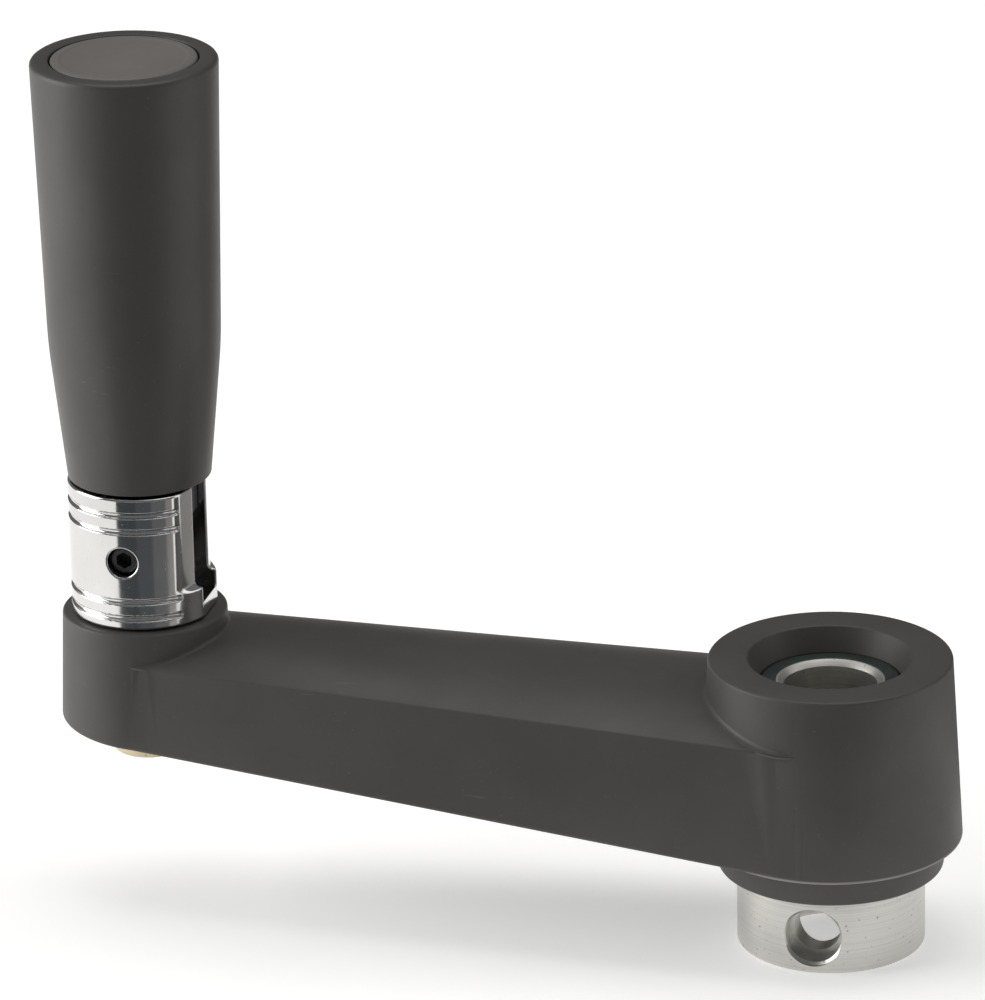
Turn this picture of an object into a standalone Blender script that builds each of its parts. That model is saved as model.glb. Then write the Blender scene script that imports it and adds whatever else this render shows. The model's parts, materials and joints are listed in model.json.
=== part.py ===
"""Crank handle with a fold-away revolving grip.

Frame: origin on the bore's axis at the hub bush's lower face, +Z up along the bore.
The handle's axis is parallel to the bore, at X = -CRANK_RADIUS.
All sizes are in millimetres here and become metres when the meshes are made.
"""

import math

import bmesh
import bpy
from mathutils import Matrix, Vector

MM = 0.001

# Driving dimensions, in millimetres.
CRANK_RADIUS = 120.0
GAP = 0.3

HUB_BOTTOM = 19.1
HUB_TOP = 51.2
HUB_TOP_RADIUS = 20.65
HUB_BOTTOM_RADIUS = 22.35
COLLAR_BOTTOM = 13.8
COLLAR_TOP_RADIUS = 19.4
COLLAR_BOTTOM_RADIUS = 19.15
RECESS_TOP_RADIUS = 14.0
RECESS_FLOOR_RADIUS = 12.1
RECESS_DEPTH = 4.1

BORE_RADIUS = 8.0
BUSH_RADIUS = 16.0
BUSH_SHOULDER = 13.5
BUSH_BODY_RADIUS = 14.0
BUSH_STEP = 45.4
CROSS_HOLE_HEIGHT = 6.4
CROSS_HOLE_RADIUS = 4.0
COUNTERBORE_RADIUS = 5.1
COUNTERBORE_DEPTH = 4.5

BOSS_TOP_RADIUS = 14.15
BOSS_BOTTOM_RADIUS = 14.95
UNDERSIDE_AT_BOSS = 30.3
UNDERSIDE_AT_HUB = 21.1
ARM_CROWN_AT_BOSS = 48.5
ARM_CROWN_AT_HUB = 44.25
CROWN_DROP_AT_BOSS = 2.95
CROWN_DROP_AT_HUB = 3.05
CROWN_INSET = 0.45
ARM_EDGE = 0.8
CROWN_POWER = 2.7

FORK_BOTTOM = 51.5
FORK_TOP = 75.3
FORK_RADIUS = 12.5
SLOT_FLOOR = 57.8
SLOT_HALF_WIDTH = 4.0
SLOT_BACK = 5.6
FRONT_POCKET_FLOOR = 54.2
FRONT_POCKET_START = 4.8
FACET_BOTTOM = 57.2
GROOVE_HEIGHTS = (72.3, 69.3, 56.6, 53.6)
GROOVE_END_ANGLE = 44.0
GROOVE_RADIUS = 0.45

PIVOT_HEIGHT = 63.7
PIN_RADIUS = 2.4
EYE_RADIUS = 5.2
EYE_FLAT = 4.95

TONGUE_HALF_WIDTH = 3.7
TONGUE_FRONT = 9.0
TONGUE_HEEL = 5.1
TONGUE_TOP = 81.0

STUD_RADIUS = 4.0
STUD_TOP = 56.9
STUD_BOTTOM = 29.3
STUD_BORE_RADIUS = 2.7
STUD_BORE_FLOOR = 42.0
NUT_RADIUS = 6.3
NUT_BOTTOM = 25.2
NUT_TOP = 37.6
NUT_FLOOR = 29.0
NUT_SOCKET = 5.0
NUT_SOCKET_DEPTH = 3.0
NUT_POCKET_RADIUS = 8.6
SLEEVE_RADIUS = 6.0
SLEEVE_FOOT = 39.4
WASHER_RADIUS = 8.2
WASHER_FOOT = 37.9
WASHER_THICKNESS = 1.2
DOWEL_RADIUS = 1.5
DOWEL_FOOT = 48.3
DOWEL_TOP = 54.7
PLUNGER_RADIUS = 2.4
PLUNGER_FOOT = 52.0
SPRING_RADIUS = 2.0
SPRING_WIRE = 0.32
SPRING_TURNS = 7

SPINDLE_RADIUS = 4.0
SPINDLE_END_RADIUS = 2.4
SPINDLE_FOOT = 69.8
SPINDLE_HEAD_RADIUS = 7.0
SPINDLE_HEAD_FOOT = 139.2
SPINDLE_TOP = 144.2
SPINDLE_SOCKET = 5.0
LOCK_PIN_RADIUS = 0.8
LOCK_PIN_HEIGHT = 72.4
NECK_RADIUS = 7.1
EYE_BUSH_RADIUS = 3.4
GRIP_BUSH_RADIUS = 6.0
LOWER_BUSH_FOOT = 82.7
UPPER_BUSH_FOOT = 127.7
GRIP_BUSH_LENGTH = 9.0
THRUST_RADIUS = 7.3
HEAD_WASHER_FOOT = 137.1
HEAD_WASHER_THICKNESS = 0.6

GRIP_BOTTOM = 75.7
GRIP_TOP = 149.8
GRIP_BOTTOM_RADIUS = 12.25
GRIP_KNEE = 99.5
GRIP_KNEE_RADIUS = 14.65
GRIP_TOP_RADIUS = 15.9
GRIP_LIFT = 3.9
CAP_RADIUS = 12.4
CAP_FLOOR = 146.6
CAP_SEAT_RADIUS = 10.9

SEGMENTS = 48
HANDLE = Vector((-CRANK_RADIUS, 0.0, 0.0))
PIVOT_PLACE = HANDLE + Vector((0.0, 0.0, PIVOT_HEIGHT))
DOWEL_ANGLE = math.radians(153.0)
DOWEL = HANDLE + 9.0 * Vector((math.cos(DOWEL_ANGLE), math.sin(DOWEL_ANGLE), 0.0))


# ---------------------------------------------------------------- helpers

def material(name, colour, roughness, metallic):
    finish = bpy.data.materials.new(name)
    finish.use_nodes = True
    shader = finish.node_tree.nodes["Principled BSDF"]
    shader.inputs["Base Color"].default_value = (*colour, 1.0)
    shader.inputs["Roughness"].default_value = roughness
    shader.inputs["Metallic"].default_value = metallic
    return finish


def add_object(name, bm, finish=None, parent=None):
    """Turns a bmesh in millimetres, in world places, into a named object in metres."""
    bmesh.ops.remove_doubles(bm, verts=bm.verts, dist=0.0005)
    bmesh.ops.recalc_face_normals(bm, faces=bm.faces)
    bmesh.ops.scale(bm, vec=(MM, MM, MM), verts=bm.verts)
    if parent is not None:
        bmesh.ops.translate(bm, vec=-parent.location, verts=bm.verts)
    mesh = bpy.data.meshes.new(name)
    bm.to_mesh(mesh)
    bm.free()
    mesh.shade_smooth()
    mesh.set_sharp_from_angle(angle=math.radians(30))
    made = bpy.data.objects.new(name, mesh)
    bpy.context.collection.objects.link(made)
    if finish is not None:
        mesh.materials.append(finish)
    made.parent = parent
    return made


def pivot(name, place):
    """An empty on a joint's axis, which its moving pieces hang on."""
    empty = bpy.data.objects.new(name, None)
    empty.location = Vector(place) * MM
    bpy.context.collection.objects.link(empty)
    return empty


def turned(profile, centre=(0.0, 0.0, 0.0), segments=SEGMENTS, axis="Z"):
    """A solid turned from a closed outline of (radius, height) points."""
    bm = bmesh.new()
    points = [bm.verts.new((radius, 0.0, height)) for radius, height in profile]
    edges = [bm.edges.new((points[i], points[(i + 1) % len(points)])) for i in range(len(points))]
    on_axis = [e for e in edges if all(abs(v.co.x) < 1e-6 for v in e.verts)]
    bmesh.ops.delete(bm, geom=on_axis, context="EDGES_FACES")
    bmesh.ops.spin(bm, geom=bm.verts[:] + bm.edges[:], cent=(0, 0, 0), axis=(0, 0, 1),
                   angle=2 * math.pi, steps=segments, use_merge=True)
    bmesh.ops.remove_doubles(bm, verts=bm.verts, dist=0.0005)
    bmesh.ops.dissolve_degenerate(bm, edges=bm.edges, dist=0.0001)
    if axis == "Y":
        bmesh.ops.rotate(bm, matrix=Matrix.Rotation(math.radians(90), 3, "X"), verts=bm.verts)
    bmesh.ops.translate(bm, vec=Vector(centre), verts=bm.verts)
    return bm


def rod(radius, low, high, centre=(0.0, 0.0, 0.0), segments=SEGMENTS, chamfer=0.0, axis="Z"):
    outline = [(0.0, low), (radius - chamfer, low)]
    if chamfer:
        outline += [(radius, low + chamfer), (radius, high - chamfer)]
    else:
        outline += [(radius, high)]
    if chamfer:
        outline += [(radius - chamfer, high)]
    outline += [(0.0, high)]
    return turned(outline, centre, segments, axis)


def ring(inner, outer, low, high, centre=(0.0, 0.0, 0.0), segments=SEGMENTS, chamfer=0.0, axis="Z"):
    outline = [(inner, low), (outer - chamfer, low)]
    if chamfer:
        outline += [(outer, low + chamfer), (outer, high - chamfer)]
    else:
        outline += [(outer, high)]
    if chamfer:
        outline += [(outer - chamfer, high)]
    outline += [(inner, high)]
    return turned(outline, centre, segments, axis)


def slab(outline, low, high, axis="Z", centre=(0.0, 0.0, 0.0)):
    """A flat outline pushed from low to high: in the XY plane along Z, or in XZ along Y."""
    bm = bmesh.new()
    if axis == "Z":
        base = [bm.verts.new((x, y, low)) for x, y in outline]
    else:
        base = [bm.verts.new((x, low, z)) for x, z in outline]
    face = bm.faces.new(base)
    pushed = bmesh.ops.extrude_face_region(bm, geom=[face])
    top = [item for item in pushed["geom"] if isinstance(item, bmesh.types.BMVert)]
    step = Vector((0, 0, high - low)) if axis == "Z" else Vector((0, high - low, 0))
    bmesh.ops.translate(bm, vec=step, verts=top)
    bmesh.ops.translate(bm, vec=Vector(centre), verts=bm.verts)
    return bm


def arc(centre_x, centre_y, radius, start, stop, steps):
    """Points along an arc, angles in degrees."""
    points = []
    for i in range(steps + 1):
        angle = math.radians(start + (stop - start) * i / steps)
        points.append((centre_x + radius * math.cos(angle), centre_y + radius * math.sin(angle)))
    return points


def gathered(*parts):
    """Several separate solids in one bmesh, so that one Boolean cuts them all."""
    together = bmesh.new()
    for part in parts:
        holder = bpy.data.meshes.new("holder")
        part.to_mesh(holder)
        part.free()
        together.from_mesh(holder)
        bpy.data.meshes.remove(holder)
    return together


def hexagon(across_flats, turn=0.0):
    return arc(0.0, 0.0, across_flats / math.sqrt(3.0), turn, turn + 300.0, 5)


def combine(target, bm, operation):
    """Cuts or joins target with a bmesh, through a Boolean modifier and a hidden tool object."""
    tool = add_object(target.name + "_tool", bm)
    tool.hide_render = True
    tool.display_type = "WIRE"
    if target.parent is not None:
        tool.parent = target.parent
        tool.location = -target.parent.location
    step = target.modifiers.new(operation.lower(), "BOOLEAN")
    step.operation = operation
    step.solver = "EXACT"
    step.object = tool


def cut(target, bm):
    combine(target, bm, "DIFFERENCE")


def join(target, bm):
    combine(target, bm, "UNION")


# ---------------------------------------------------------------- crank arm

def tangent_half_width(along, end_radius, hub_radius):
    """Half width of the belt round the boss circle and the hub circle, at a place along X."""
    lean = (hub_radius - end_radius) / CRANK_RADIUS
    return (end_radius + lean * (along + CRANK_RADIUS)) / math.sqrt(1.0 - lean * lean)


def underside(along):
    """The sloping underside, which meets the hub's wall a little above its foot."""
    slope = (UNDERSIDE_AT_BOSS - UNDERSIDE_AT_HUB) / (CRANK_RADIUS - HUB_BOTTOM_RADIUS)
    return max(UNDERSIDE_AT_BOSS - slope * (along + CRANK_RADIUS), HUB_BOTTOM + 0.1)


def arm_section(along):
    """The arm's outline across its length: drafted sides, a flat underside and a crowned top."""
    share = (along + CRANK_RADIUS) / CRANK_RADIUS
    crown = ARM_CROWN_AT_BOSS + (ARM_CROWN_AT_HUB - ARM_CROWN_AT_BOSS) * share
    drop = CROWN_DROP_AT_BOSS + (CROWN_DROP_AT_HUB - CROWN_DROP_AT_BOSS) * share
    top = tangent_half_width(along, BOSS_TOP_RADIUS, HUB_TOP_RADIUS)
    low = tangent_half_width(along, BOSS_BOTTOM_RADIUS, HUB_BOTTOM_RADIUS)
    floor = underside(along)
    half = [(low - ARM_EDGE, floor), (low, floor + ARM_EDGE)]
    side = low + (top - low) * (crown - drop - floor) / (HUB_TOP - floor) - CROWN_INSET
    steps = 7
    for i in range(steps + 1):
        across = 1.0 - i / steps
        half.append((side * across, crown - drop * across ** CROWN_POWER))
    left = [(-y, z) for y, z in reversed(half[:-1])]
    return half + left


def arm_beam():
    """The beam between the boss and the hub, lofted through sections."""
    bm = bmesh.new()
    loops = []
    places = [-CRANK_RADIUS + 0.5, -CRANK_RADIUS * 0.5, -HUB_BOTTOM_RADIUS, -0.5]
    for along in places:
        loops.append([bm.verts.new((along, y, z)) for y, z in arm_section(along)])
    for first, second in zip(loops, loops[1:]):
        count = len(first)
        for i in range(count):
            j = (i + 1) % count
            bm.faces.new((first[i], first[j], second[j], second[i]))
    bm.faces.new(loops[0])
    bm.faces.new(list(reversed(loops[-1])))
    return bm


def end_boss():
    """The turned end boss, with its foot sheared to the underside's slope."""
    low = UNDERSIDE_AT_BOSS
    outline = [(0.0, low), (BOSS_BOTTOM_RADIUS - ARM_EDGE, low), (BOSS_BOTTOM_RADIUS, low + ARM_EDGE)]
    outline += [(BOSS_TOP_RADIUS, HUB_TOP - 0.7), (BOSS_TOP_RADIUS - 0.2, HUB_TOP - 0.2)]
    outline += [(BOSS_TOP_RADIUS - 0.7, HUB_TOP), (0.0, HUB_TOP)]
    bm = turned(outline)
    slope = underside(-CRANK_RADIUS + 1.0) - underside(-CRANK_RADIUS)
    for vert in bm.verts:
        if vert.co.z < low + 2.0:
            vert.co.z += slope * vert.co.x
    bmesh.ops.translate(bm, vec=HANDLE, verts=bm.verts)
    return bm


def hub():
    """The hub with the tapered collar under it."""
    outline = [(0.0, COLLAR_BOTTOM), (COLLAR_BOTTOM_RADIUS - 0.4, COLLAR_BOTTOM)]
    outline += [(COLLAR_BOTTOM_RADIUS, COLLAR_BOTTOM + 0.4)]
    outline += [(COLLAR_TOP_RADIUS, HUB_BOTTOM), (HUB_BOTTOM_RADIUS - 0.5, HUB_BOTTOM)]
    outline += [(HUB_BOTTOM_RADIUS, HUB_BOTTOM + 0.5), (HUB_TOP_RADIUS, HUB_TOP - 0.6)]
    outline += [(HUB_TOP_RADIUS - 0.6, HUB_TOP), (0.0, HUB_TOP)]
    return turned(outline)


def bush_pocket():
    """The space that the plastic leaves for the bush, and the open recess above it."""
    body = BUSH_BODY_RADIUS + GAP
    seat = HUB_TOP - RECESS_DEPTH
    outline = [(0.0, COLLAR_BOTTOM - 1.0), (body, COLLAR_BOTTOM - 1.0), (body, 20.0), (body - 1.0, 21.0)]
    outline += [(body - 1.0, 24.4), (body, 25.4), (body, BUSH_STEP + GAP)]
    outline += [(RECESS_FLOOR_RADIUS, BUSH_STEP + GAP), (RECESS_FLOOR_RADIUS, seat)]
    outline += [(RECESS_TOP_RADIUS, HUB_TOP), (RECESS_TOP_RADIUS, HUB_TOP + 1.0), (0.0, HUB_TOP + 1.0)]
    return turned(outline)


def stud_passage():
    """The hole through the end boss: nut pocket below, sleeve seat above."""
    below = NUT_BOTTOM - 0.2
    above = HUB_TOP + 1.0
    seat = SLEEVE_RADIUS + GAP
    outline = [(0.0, below), (NUT_POCKET_RADIUS, below), (NUT_POCKET_RADIUS, SLEEVE_FOOT)]
    outline += [(seat, SLEEVE_FOOT), (seat, above), (0.0, above)]
    return turned(outline, HANDLE, segments=32)


def build_arm(black):
    arm = add_object("crank_arm", arm_beam(), black)
    join(arm, end_boss())
    join(arm, hub())
    dowel_hole = rod(DOWEL_RADIUS + GAP, DOWEL_FOOT - GAP, HUB_TOP + 1.0, DOWEL, segments=16)
    cut(arm, gathered(bush_pocket(), stud_passage(), dowel_hole))
    return arm


# ---------------------------------------------------------------- hub bush

def build_bush(steel):
    seat = HUB_TOP - RECESS_DEPTH
    body = BUSH_BODY_RADIUS
    neck = RECESS_FLOOR_RADIUS - GAP
    outline = [(BORE_RADIUS + 1.0, 0.0), (BUSH_RADIUS - 0.3, 0.0), (BUSH_RADIUS, 0.3)]
    outline += [(BUSH_RADIUS, BUSH_SHOULDER), (body, BUSH_SHOULDER), (body, 20.3), (body - 1.0, 21.3)]
    outline += [(body - 1.0, 24.1), (body, 25.1), (body, BUSH_STEP), (neck, BUSH_STEP), (neck, seat)]
    outline += [(BORE_RADIUS + 1.0, seat), (BORE_RADIUS, seat - 1.0), (BORE_RADIUS, 1.0)]
    bush = add_object("hub_bush", turned(outline), steel)
    front = -BUSH_RADIUS + COUNTERBORE_DEPTH
    # An outline turned about Y has its heights reversed: height h lies at Y = -h.
    hole = [(0.0, -BUSH_RADIUS - 2.0), (CROSS_HOLE_RADIUS, -BUSH_RADIUS - 2.0), (CROSS_HOLE_RADIUS, -front)]
    hole += [(COUNTERBORE_RADIUS, -front), (COUNTERBORE_RADIUS, BUSH_RADIUS + 2.0), (0.0, BUSH_RADIUS + 2.0)]
    cut(bush, turned(hole, (0, 0, CROSS_HOLE_HEIGHT), segments=32, axis="Y"))
    return bush


# ---------------------------------------------------------------- fork

def groove_cutter(height):
    """A round-bottomed groove that stops short of the slot on both sides."""
    bm = bmesh.new()
    start = math.radians(GROOVE_END_ANGLE)
    section = [bm.verts.new((FORK_RADIUS + GROOVE_RADIUS * math.cos(math.radians(a)), 0.0,
                             height + GROOVE_RADIUS * math.sin(math.radians(a))))
               for a in range(0, 360, 60)]
    face = bm.faces.new(section)
    bmesh.ops.rotate(bm, matrix=Matrix.Rotation(start, 3, "Z"), verts=bm.verts)
    bmesh.ops.spin(bm, geom=[face], cent=(0, 0, 0), axis=(0, 0, 1),
                   angle=2 * math.pi - 2 * start, steps=35)
    bmesh.ops.translate(bm, vec=HANDLE, verts=bm.verts)
    return bm


def facet_cutter():
    """Takes the fork's front back to a flatter curve between the ends of the grooves."""
    curve_radius = 22.0
    edge = math.radians(GROOVE_END_ANGLE)
    corner_x = FORK_RADIUS * math.cos(edge)
    corner_y = FORK_RADIUS * math.sin(edge)
    centre_x = corner_x - math.sqrt(curve_radius ** 2 - corner_y ** 2)
    spread = math.degrees(math.asin(corner_y / curve_radius))
    outline = arc(centre_x, 0.0, curve_radius, -spread, spread, 8)
    outline += [(corner_x + 1.0, corner_y + 1.2), (FORK_RADIUS + 2.0, corner_y + 1.2)]
    outline += [(FORK_RADIUS + 2.0, -corner_y - 1.2), (corner_x + 1.0, -corner_y - 1.2)]
    return slab(outline, FACET_BOTTOM, FORK_TOP + 1.0, centre=HANDLE)


def slot_cutter():
    """The slot seen from the side: open above and in front, deeper in front of the stud."""
    outline = [(-SLOT_BACK, SLOT_FLOOR), (FRONT_POCKET_START, SLOT_FLOOR)]
    outline += [(FRONT_POCKET_START, FRONT_POCKET_FLOOR), (FORK_RADIUS + 2.0, FRONT_POCKET_FLOOR)]
    outline += [(FORK_RADIUS + 2.0, FORK_TOP + 1.0), (-SLOT_BACK, FORK_TOP + 1.0)]
    return slab(outline, -SLOT_HALF_WIDTH, SLOT_HALF_WIDTH, axis="Y", centre=HANDLE)


def build_fork(chrome):
    edge = 0.3
    outline = [(STUD_RADIUS + GAP, FORK_BOTTOM), (FORK_RADIUS - edge, FORK_BOTTOM)]
    outline += [(FORK_RADIUS, FORK_BOTTOM + edge)]
    outline += [(FORK_RADIUS, FORK_TOP - edge), (FORK_RADIUS - edge, FORK_TOP), (0.0, FORK_TOP)]
    outline += [(0.0, SLOT_FLOOR + 0.6), (3.0, SLOT_FLOOR + 0.6), (3.0, STUD_TOP + GAP)]
    outline += [(STUD_RADIUS + GAP, STUD_TOP + GAP)]
    fork = add_object("fork_body", turned(outline, HANDLE, segments=64), chrome)
    cut(fork, gathered(*[groove_cutter(height) for height in GROOVE_HEIGHTS]))
    cut(fork, facet_cutter())
    cut(fork, slot_cutter())
    relief = [(11.7, FORK_BOTTOM - 1.0), (FORK_RADIUS + 2.0, FORK_BOTTOM - 1.0)]
    relief += [(FORK_RADIUS + 2.0, SLOT_FLOOR + 1.0), (11.7, SLOT_FLOOR + 1.0)]
    front = slab(relief, -7.0, 7.0, axis="Y", centre=HANDLE)
    pin_hole = rod(PIN_RADIUS + GAP, -20.0, 20.0, PIVOT_PLACE, segments=24, axis="Y")
    dowel_hole = rod(DOWEL_RADIUS + GAP, FORK_BOTTOM - 1.0, DOWEL_TOP + GAP, DOWEL, segments=16)
    cut(fork, gathered(front, pin_hole, dowel_hole))
    return fork


def build_pin(coated):
    """The pivot pin: a plain pin with a hexagon socket at its front end."""
    half = 11.0
    pin = add_object("pivot_pin", rod(PIN_RADIUS, -half, half, PIVOT_PLACE,
                                      segments=24, chamfer=0.3, axis="Y"), coated)
    socket = slab(hexagon(2.6), -half - 1.0, -half + 2.5, axis="Y",
                  centre=PIVOT_PLACE)
    cut(pin, socket)
    return pin


# ---------------------------------------------------------------- fastening and detent

def build_fastening(steel, zinc, brass):
    stud = [(0.0, STUD_BOTTOM), (STUD_RADIUS - 0.6, STUD_BOTTOM), (STUD_RADIUS, STUD_BOTTOM + 0.6)]
    stud += [(STUD_RADIUS, STUD_TOP - 0.5), (STUD_RADIUS - 0.5, STUD_TOP), (STUD_BORE_RADIUS, STUD_TOP)]
    stud += [(STUD_BORE_RADIUS, STUD_BORE_FLOOR), (0.0, STUD_BORE_FLOOR)]
    add_object("fork_stud", turned(stud, HANDLE, segments=32), brass)

    ease = 0.5
    nut = [(0.0, NUT_BOTTOM), (NUT_RADIUS - ease, NUT_BOTTOM), (NUT_RADIUS, NUT_BOTTOM + ease)]
    nut += [(NUT_RADIUS, NUT_TOP - ease), (NUT_RADIUS - ease, NUT_TOP), (STUD_RADIUS + GAP, NUT_TOP)]
    nut += [(STUD_RADIUS + GAP, NUT_FLOOR), (0.0, NUT_FLOOR)]
    nut_piece = add_object("sleeve_nut", turned(nut, HANDLE), brass)
    cut(nut_piece, slab(hexagon(NUT_SOCKET), NUT_BOTTOM - 1.0, NUT_BOTTOM + NUT_SOCKET_DEPTH, centre=HANDLE))
    inner = STUD_RADIUS + GAP
    add_object("nut_washer", ring(inner, WASHER_RADIUS, WASHER_FOOT, WASHER_FOOT + WASHER_THICKNESS,
                                  HANDLE, segments=32), zinc)
    add_object("compression_sleeve", ring(inner, SLEEVE_RADIUS, SLEEVE_FOOT, HUB_TOP,
                                          HANDLE, segments=32), steel)
    add_object("locating_dowel", rod(DOWEL_RADIUS, DOWEL_FOOT, DOWEL_TOP, DOWEL,
                                     segments=16, chamfer=0.2), steel)


def coil(radius, wire, low, high, turns, sides=6, steps_per_turn=12):
    """A compression spring: a round section carried along a helix."""
    bm = bmesh.new()
    total = int(turns * steps_per_turn)
    rings = []
    for step in range(total + 1):
        turn = 2 * math.pi * step / steps_per_turn
        rise = low + wire + (high - low - 2 * wire) * step / total
        centre = Vector((radius * math.cos(turn), radius * math.sin(turn), rise))
        outward = Vector((math.cos(turn), math.sin(turn), 0.0))
        loop = []
        for side in range(sides):
            angle = 2 * math.pi * side / sides
            offset = outward * (wire * math.cos(angle)) + Vector((0, 0, wire * math.sin(angle)))
            loop.append(bm.verts.new(centre + offset))
        rings.append(loop)
    for first, second in zip(rings, rings[1:]):
        for i in range(sides):
            j = (i + 1) % sides
            bm.faces.new((first[i], first[j], second[j], second[i]))
    bm.faces.new(rings[0])
    bm.faces.new(list(reversed(rings[-1])))
    bmesh.ops.translate(bm, vec=HANDLE, verts=bm.verts)
    return bm


def build_detent(steel, spring_steel, slide):
    nose = PIVOT_HEIGHT - EYE_FLAT - GAP
    body = PLUNGER_RADIUS
    round_start = nose - 1.2
    outline = [(0.0, PLUNGER_FOOT), (body - 0.2, PLUNGER_FOOT), (body, PLUNGER_FOOT + 0.2)]
    outline += [(body, round_start)]
    outline += [(r, round_start + h) for r, h in ((2.1, 0.6), (1.4, 1.0), (0.7, 1.2))]
    outline += [(0.0, nose)]
    add_object("detent_plunger", turned(outline, HANDLE, segments=24), steel, slide)
    spring = coil(SPRING_RADIUS, SPRING_WIRE, STUD_BORE_FLOOR + 0.1, PLUNGER_FOOT - 0.1, SPRING_TURNS)
    add_object("detent_spring", spring, spring_steel)


# ---------------------------------------------------------------- handle and grip

def lock_pin_rod(radius, half_length):
    """A rod on the threadlocking pin's axis, across the tongue and the spindle's end."""
    place = HANDLE + Vector((0.0, 0.0, LOCK_PIN_HEIGHT))
    return rod(radius, -half_length, half_length, place, segments=12, axis="Y")


def build_tongue(coated, fold):
    """The tongue, side view: an eye round the pin with two flats, a block in front, a neck above."""
    top = GRIP_BOTTOM + GRIP_LIFT
    corner = math.degrees(math.asin(EYE_FLAT / EYE_RADIUS))
    outline = []
    outline += arc(0, PIVOT_HEIGHT, EYE_RADIUS, 180.0, 180.0 + corner, 5)
    outline += arc(0, PIVOT_HEIGHT, EYE_RADIUS, 360.0 - corner, 360.0 - (90.0 - corner), 5)
    outline += [(EYE_FLAT, PIVOT_HEIGHT + TONGUE_HEEL), (TONGUE_FRONT, PIVOT_HEIGHT + TONGUE_HEEL)]
    outline += [(TONGUE_FRONT, GRIP_BOTTOM - GAP), (6.2, top), (-EYE_RADIUS, top)]
    tongue = add_object("handle_tongue", slab(outline, -TONGUE_HALF_WIDTH, TONGUE_HALF_WIDTH, axis="Y",
                                              centre=HANDLE), coated, fold)
    join(tongue, rod(NECK_RADIUS, top - 0.1, TONGUE_TOP, HANDLE, segments=32))
    cut(tongue, rod(EYE_BUSH_RADIUS + GAP, -9.0, 9.0, PIVOT_PLACE, segments=24, axis="Y"))
    cut(tongue, rod(SPINDLE_END_RADIUS + GAP, SPINDLE_FOOT - GAP, TONGUE_TOP + 1.0, HANDLE, segments=24))
    cut(tongue, lock_pin_rod(LOCK_PIN_RADIUS + GAP, 9.0))
    return tongue


def build_spindle(steel, bronze, zinc, fold):
    half = TONGUE_HALF_WIDTH - 0.1
    add_object("pivot_bush", ring(PIN_RADIUS + 0.2, EYE_BUSH_RADIUS, -half, half, PIVOT_PLACE,
                                  segments=24, axis="Y"), bronze, fold)
    end = SPINDLE_END_RADIUS
    shoulder = TONGUE_TOP + GAP
    head = SPINDLE_HEAD_RADIUS
    outline = [(0.0, SPINDLE_FOOT), (end - 0.4, SPINDLE_FOOT), (end, SPINDLE_FOOT + 0.4), (end, shoulder)]
    outline += [(SPINDLE_RADIUS, shoulder), (SPINDLE_RADIUS, SPINDLE_HEAD_FOOT), (head, SPINDLE_HEAD_FOOT)]
    outline += [(head, SPINDLE_TOP - 0.6), (head - 0.5, SPINDLE_TOP), (0.0, SPINDLE_TOP)]
    spindle = add_object("handle_spindle", turned(outline, HANDLE, segments=32), steel, fold)
    cut(spindle, slab(hexagon(SPINDLE_SOCKET), SPINDLE_TOP - 3.0, SPINDLE_TOP + 0.8, centre=HANDLE))
    cut(spindle, lock_pin_rod(LOCK_PIN_RADIUS + GAP, 9.0))
    add_object("spindle_lock_pin", lock_pin_rod(LOCK_PIN_RADIUS, 3.4), zinc, fold)


def wavy(inner, outer, low, height, waves=3, thickness=0.35, segments=36):
    """A thin ring that rises and falls round its circle."""
    bm = bmesh.new()
    loops = []
    for radius, lift in ((inner, 0.0), (outer, 0.0), (outer, thickness), (inner, thickness)):
        loop = []
        for i in range(segments):
            turn = 2 * math.pi * i / segments
            wave = 0.5 * height * (1.0 + math.cos(waves * turn))
            loop.append(bm.verts.new((radius * math.cos(turn), radius * math.sin(turn), low + wave + lift)))
        loops.append(loop)
    for first, second in zip(loops, loops[1:] + loops[:1]):
        for i in range(segments):
            j = (i + 1) % segments
            bm.faces.new((first[i], first[j], second[j], second[i]))
    bmesh.ops.translate(bm, vec=HANDLE, verts=bm.verts)
    return bm


def grip_outline():
    """The grip's outside, top to bottom: rounded rim, slow taper, soft knee, faster taper."""
    rim = 1.0
    points = arc(GRIP_TOP_RADIUS - rim, GRIP_TOP - rim, rim, 90.0, 0.0, 4)
    slow = (GRIP_TOP_RADIUS - GRIP_KNEE_RADIUS) / (GRIP_TOP - GRIP_KNEE)
    fast = (GRIP_KNEE_RADIUS - GRIP_BOTTOM_RADIUS) / (GRIP_KNEE - GRIP_BOTTOM)
    blend = 6.0
    for step in range(5):
        share = 1.0 - step / 4.0
        height = GRIP_KNEE - blend + 2.0 * blend * share
        low = GRIP_KNEE_RADIUS - fast * blend
        high = GRIP_KNEE_RADIUS + slow * blend
        radius = (1 - share) ** 2 * low + 2 * share * (1 - share) * GRIP_KNEE_RADIUS + share ** 2 * high
        points.append((radius, height))
    points.append((GRIP_BOTTOM_RADIUS, GRIP_BOTTOM))
    return points


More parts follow.
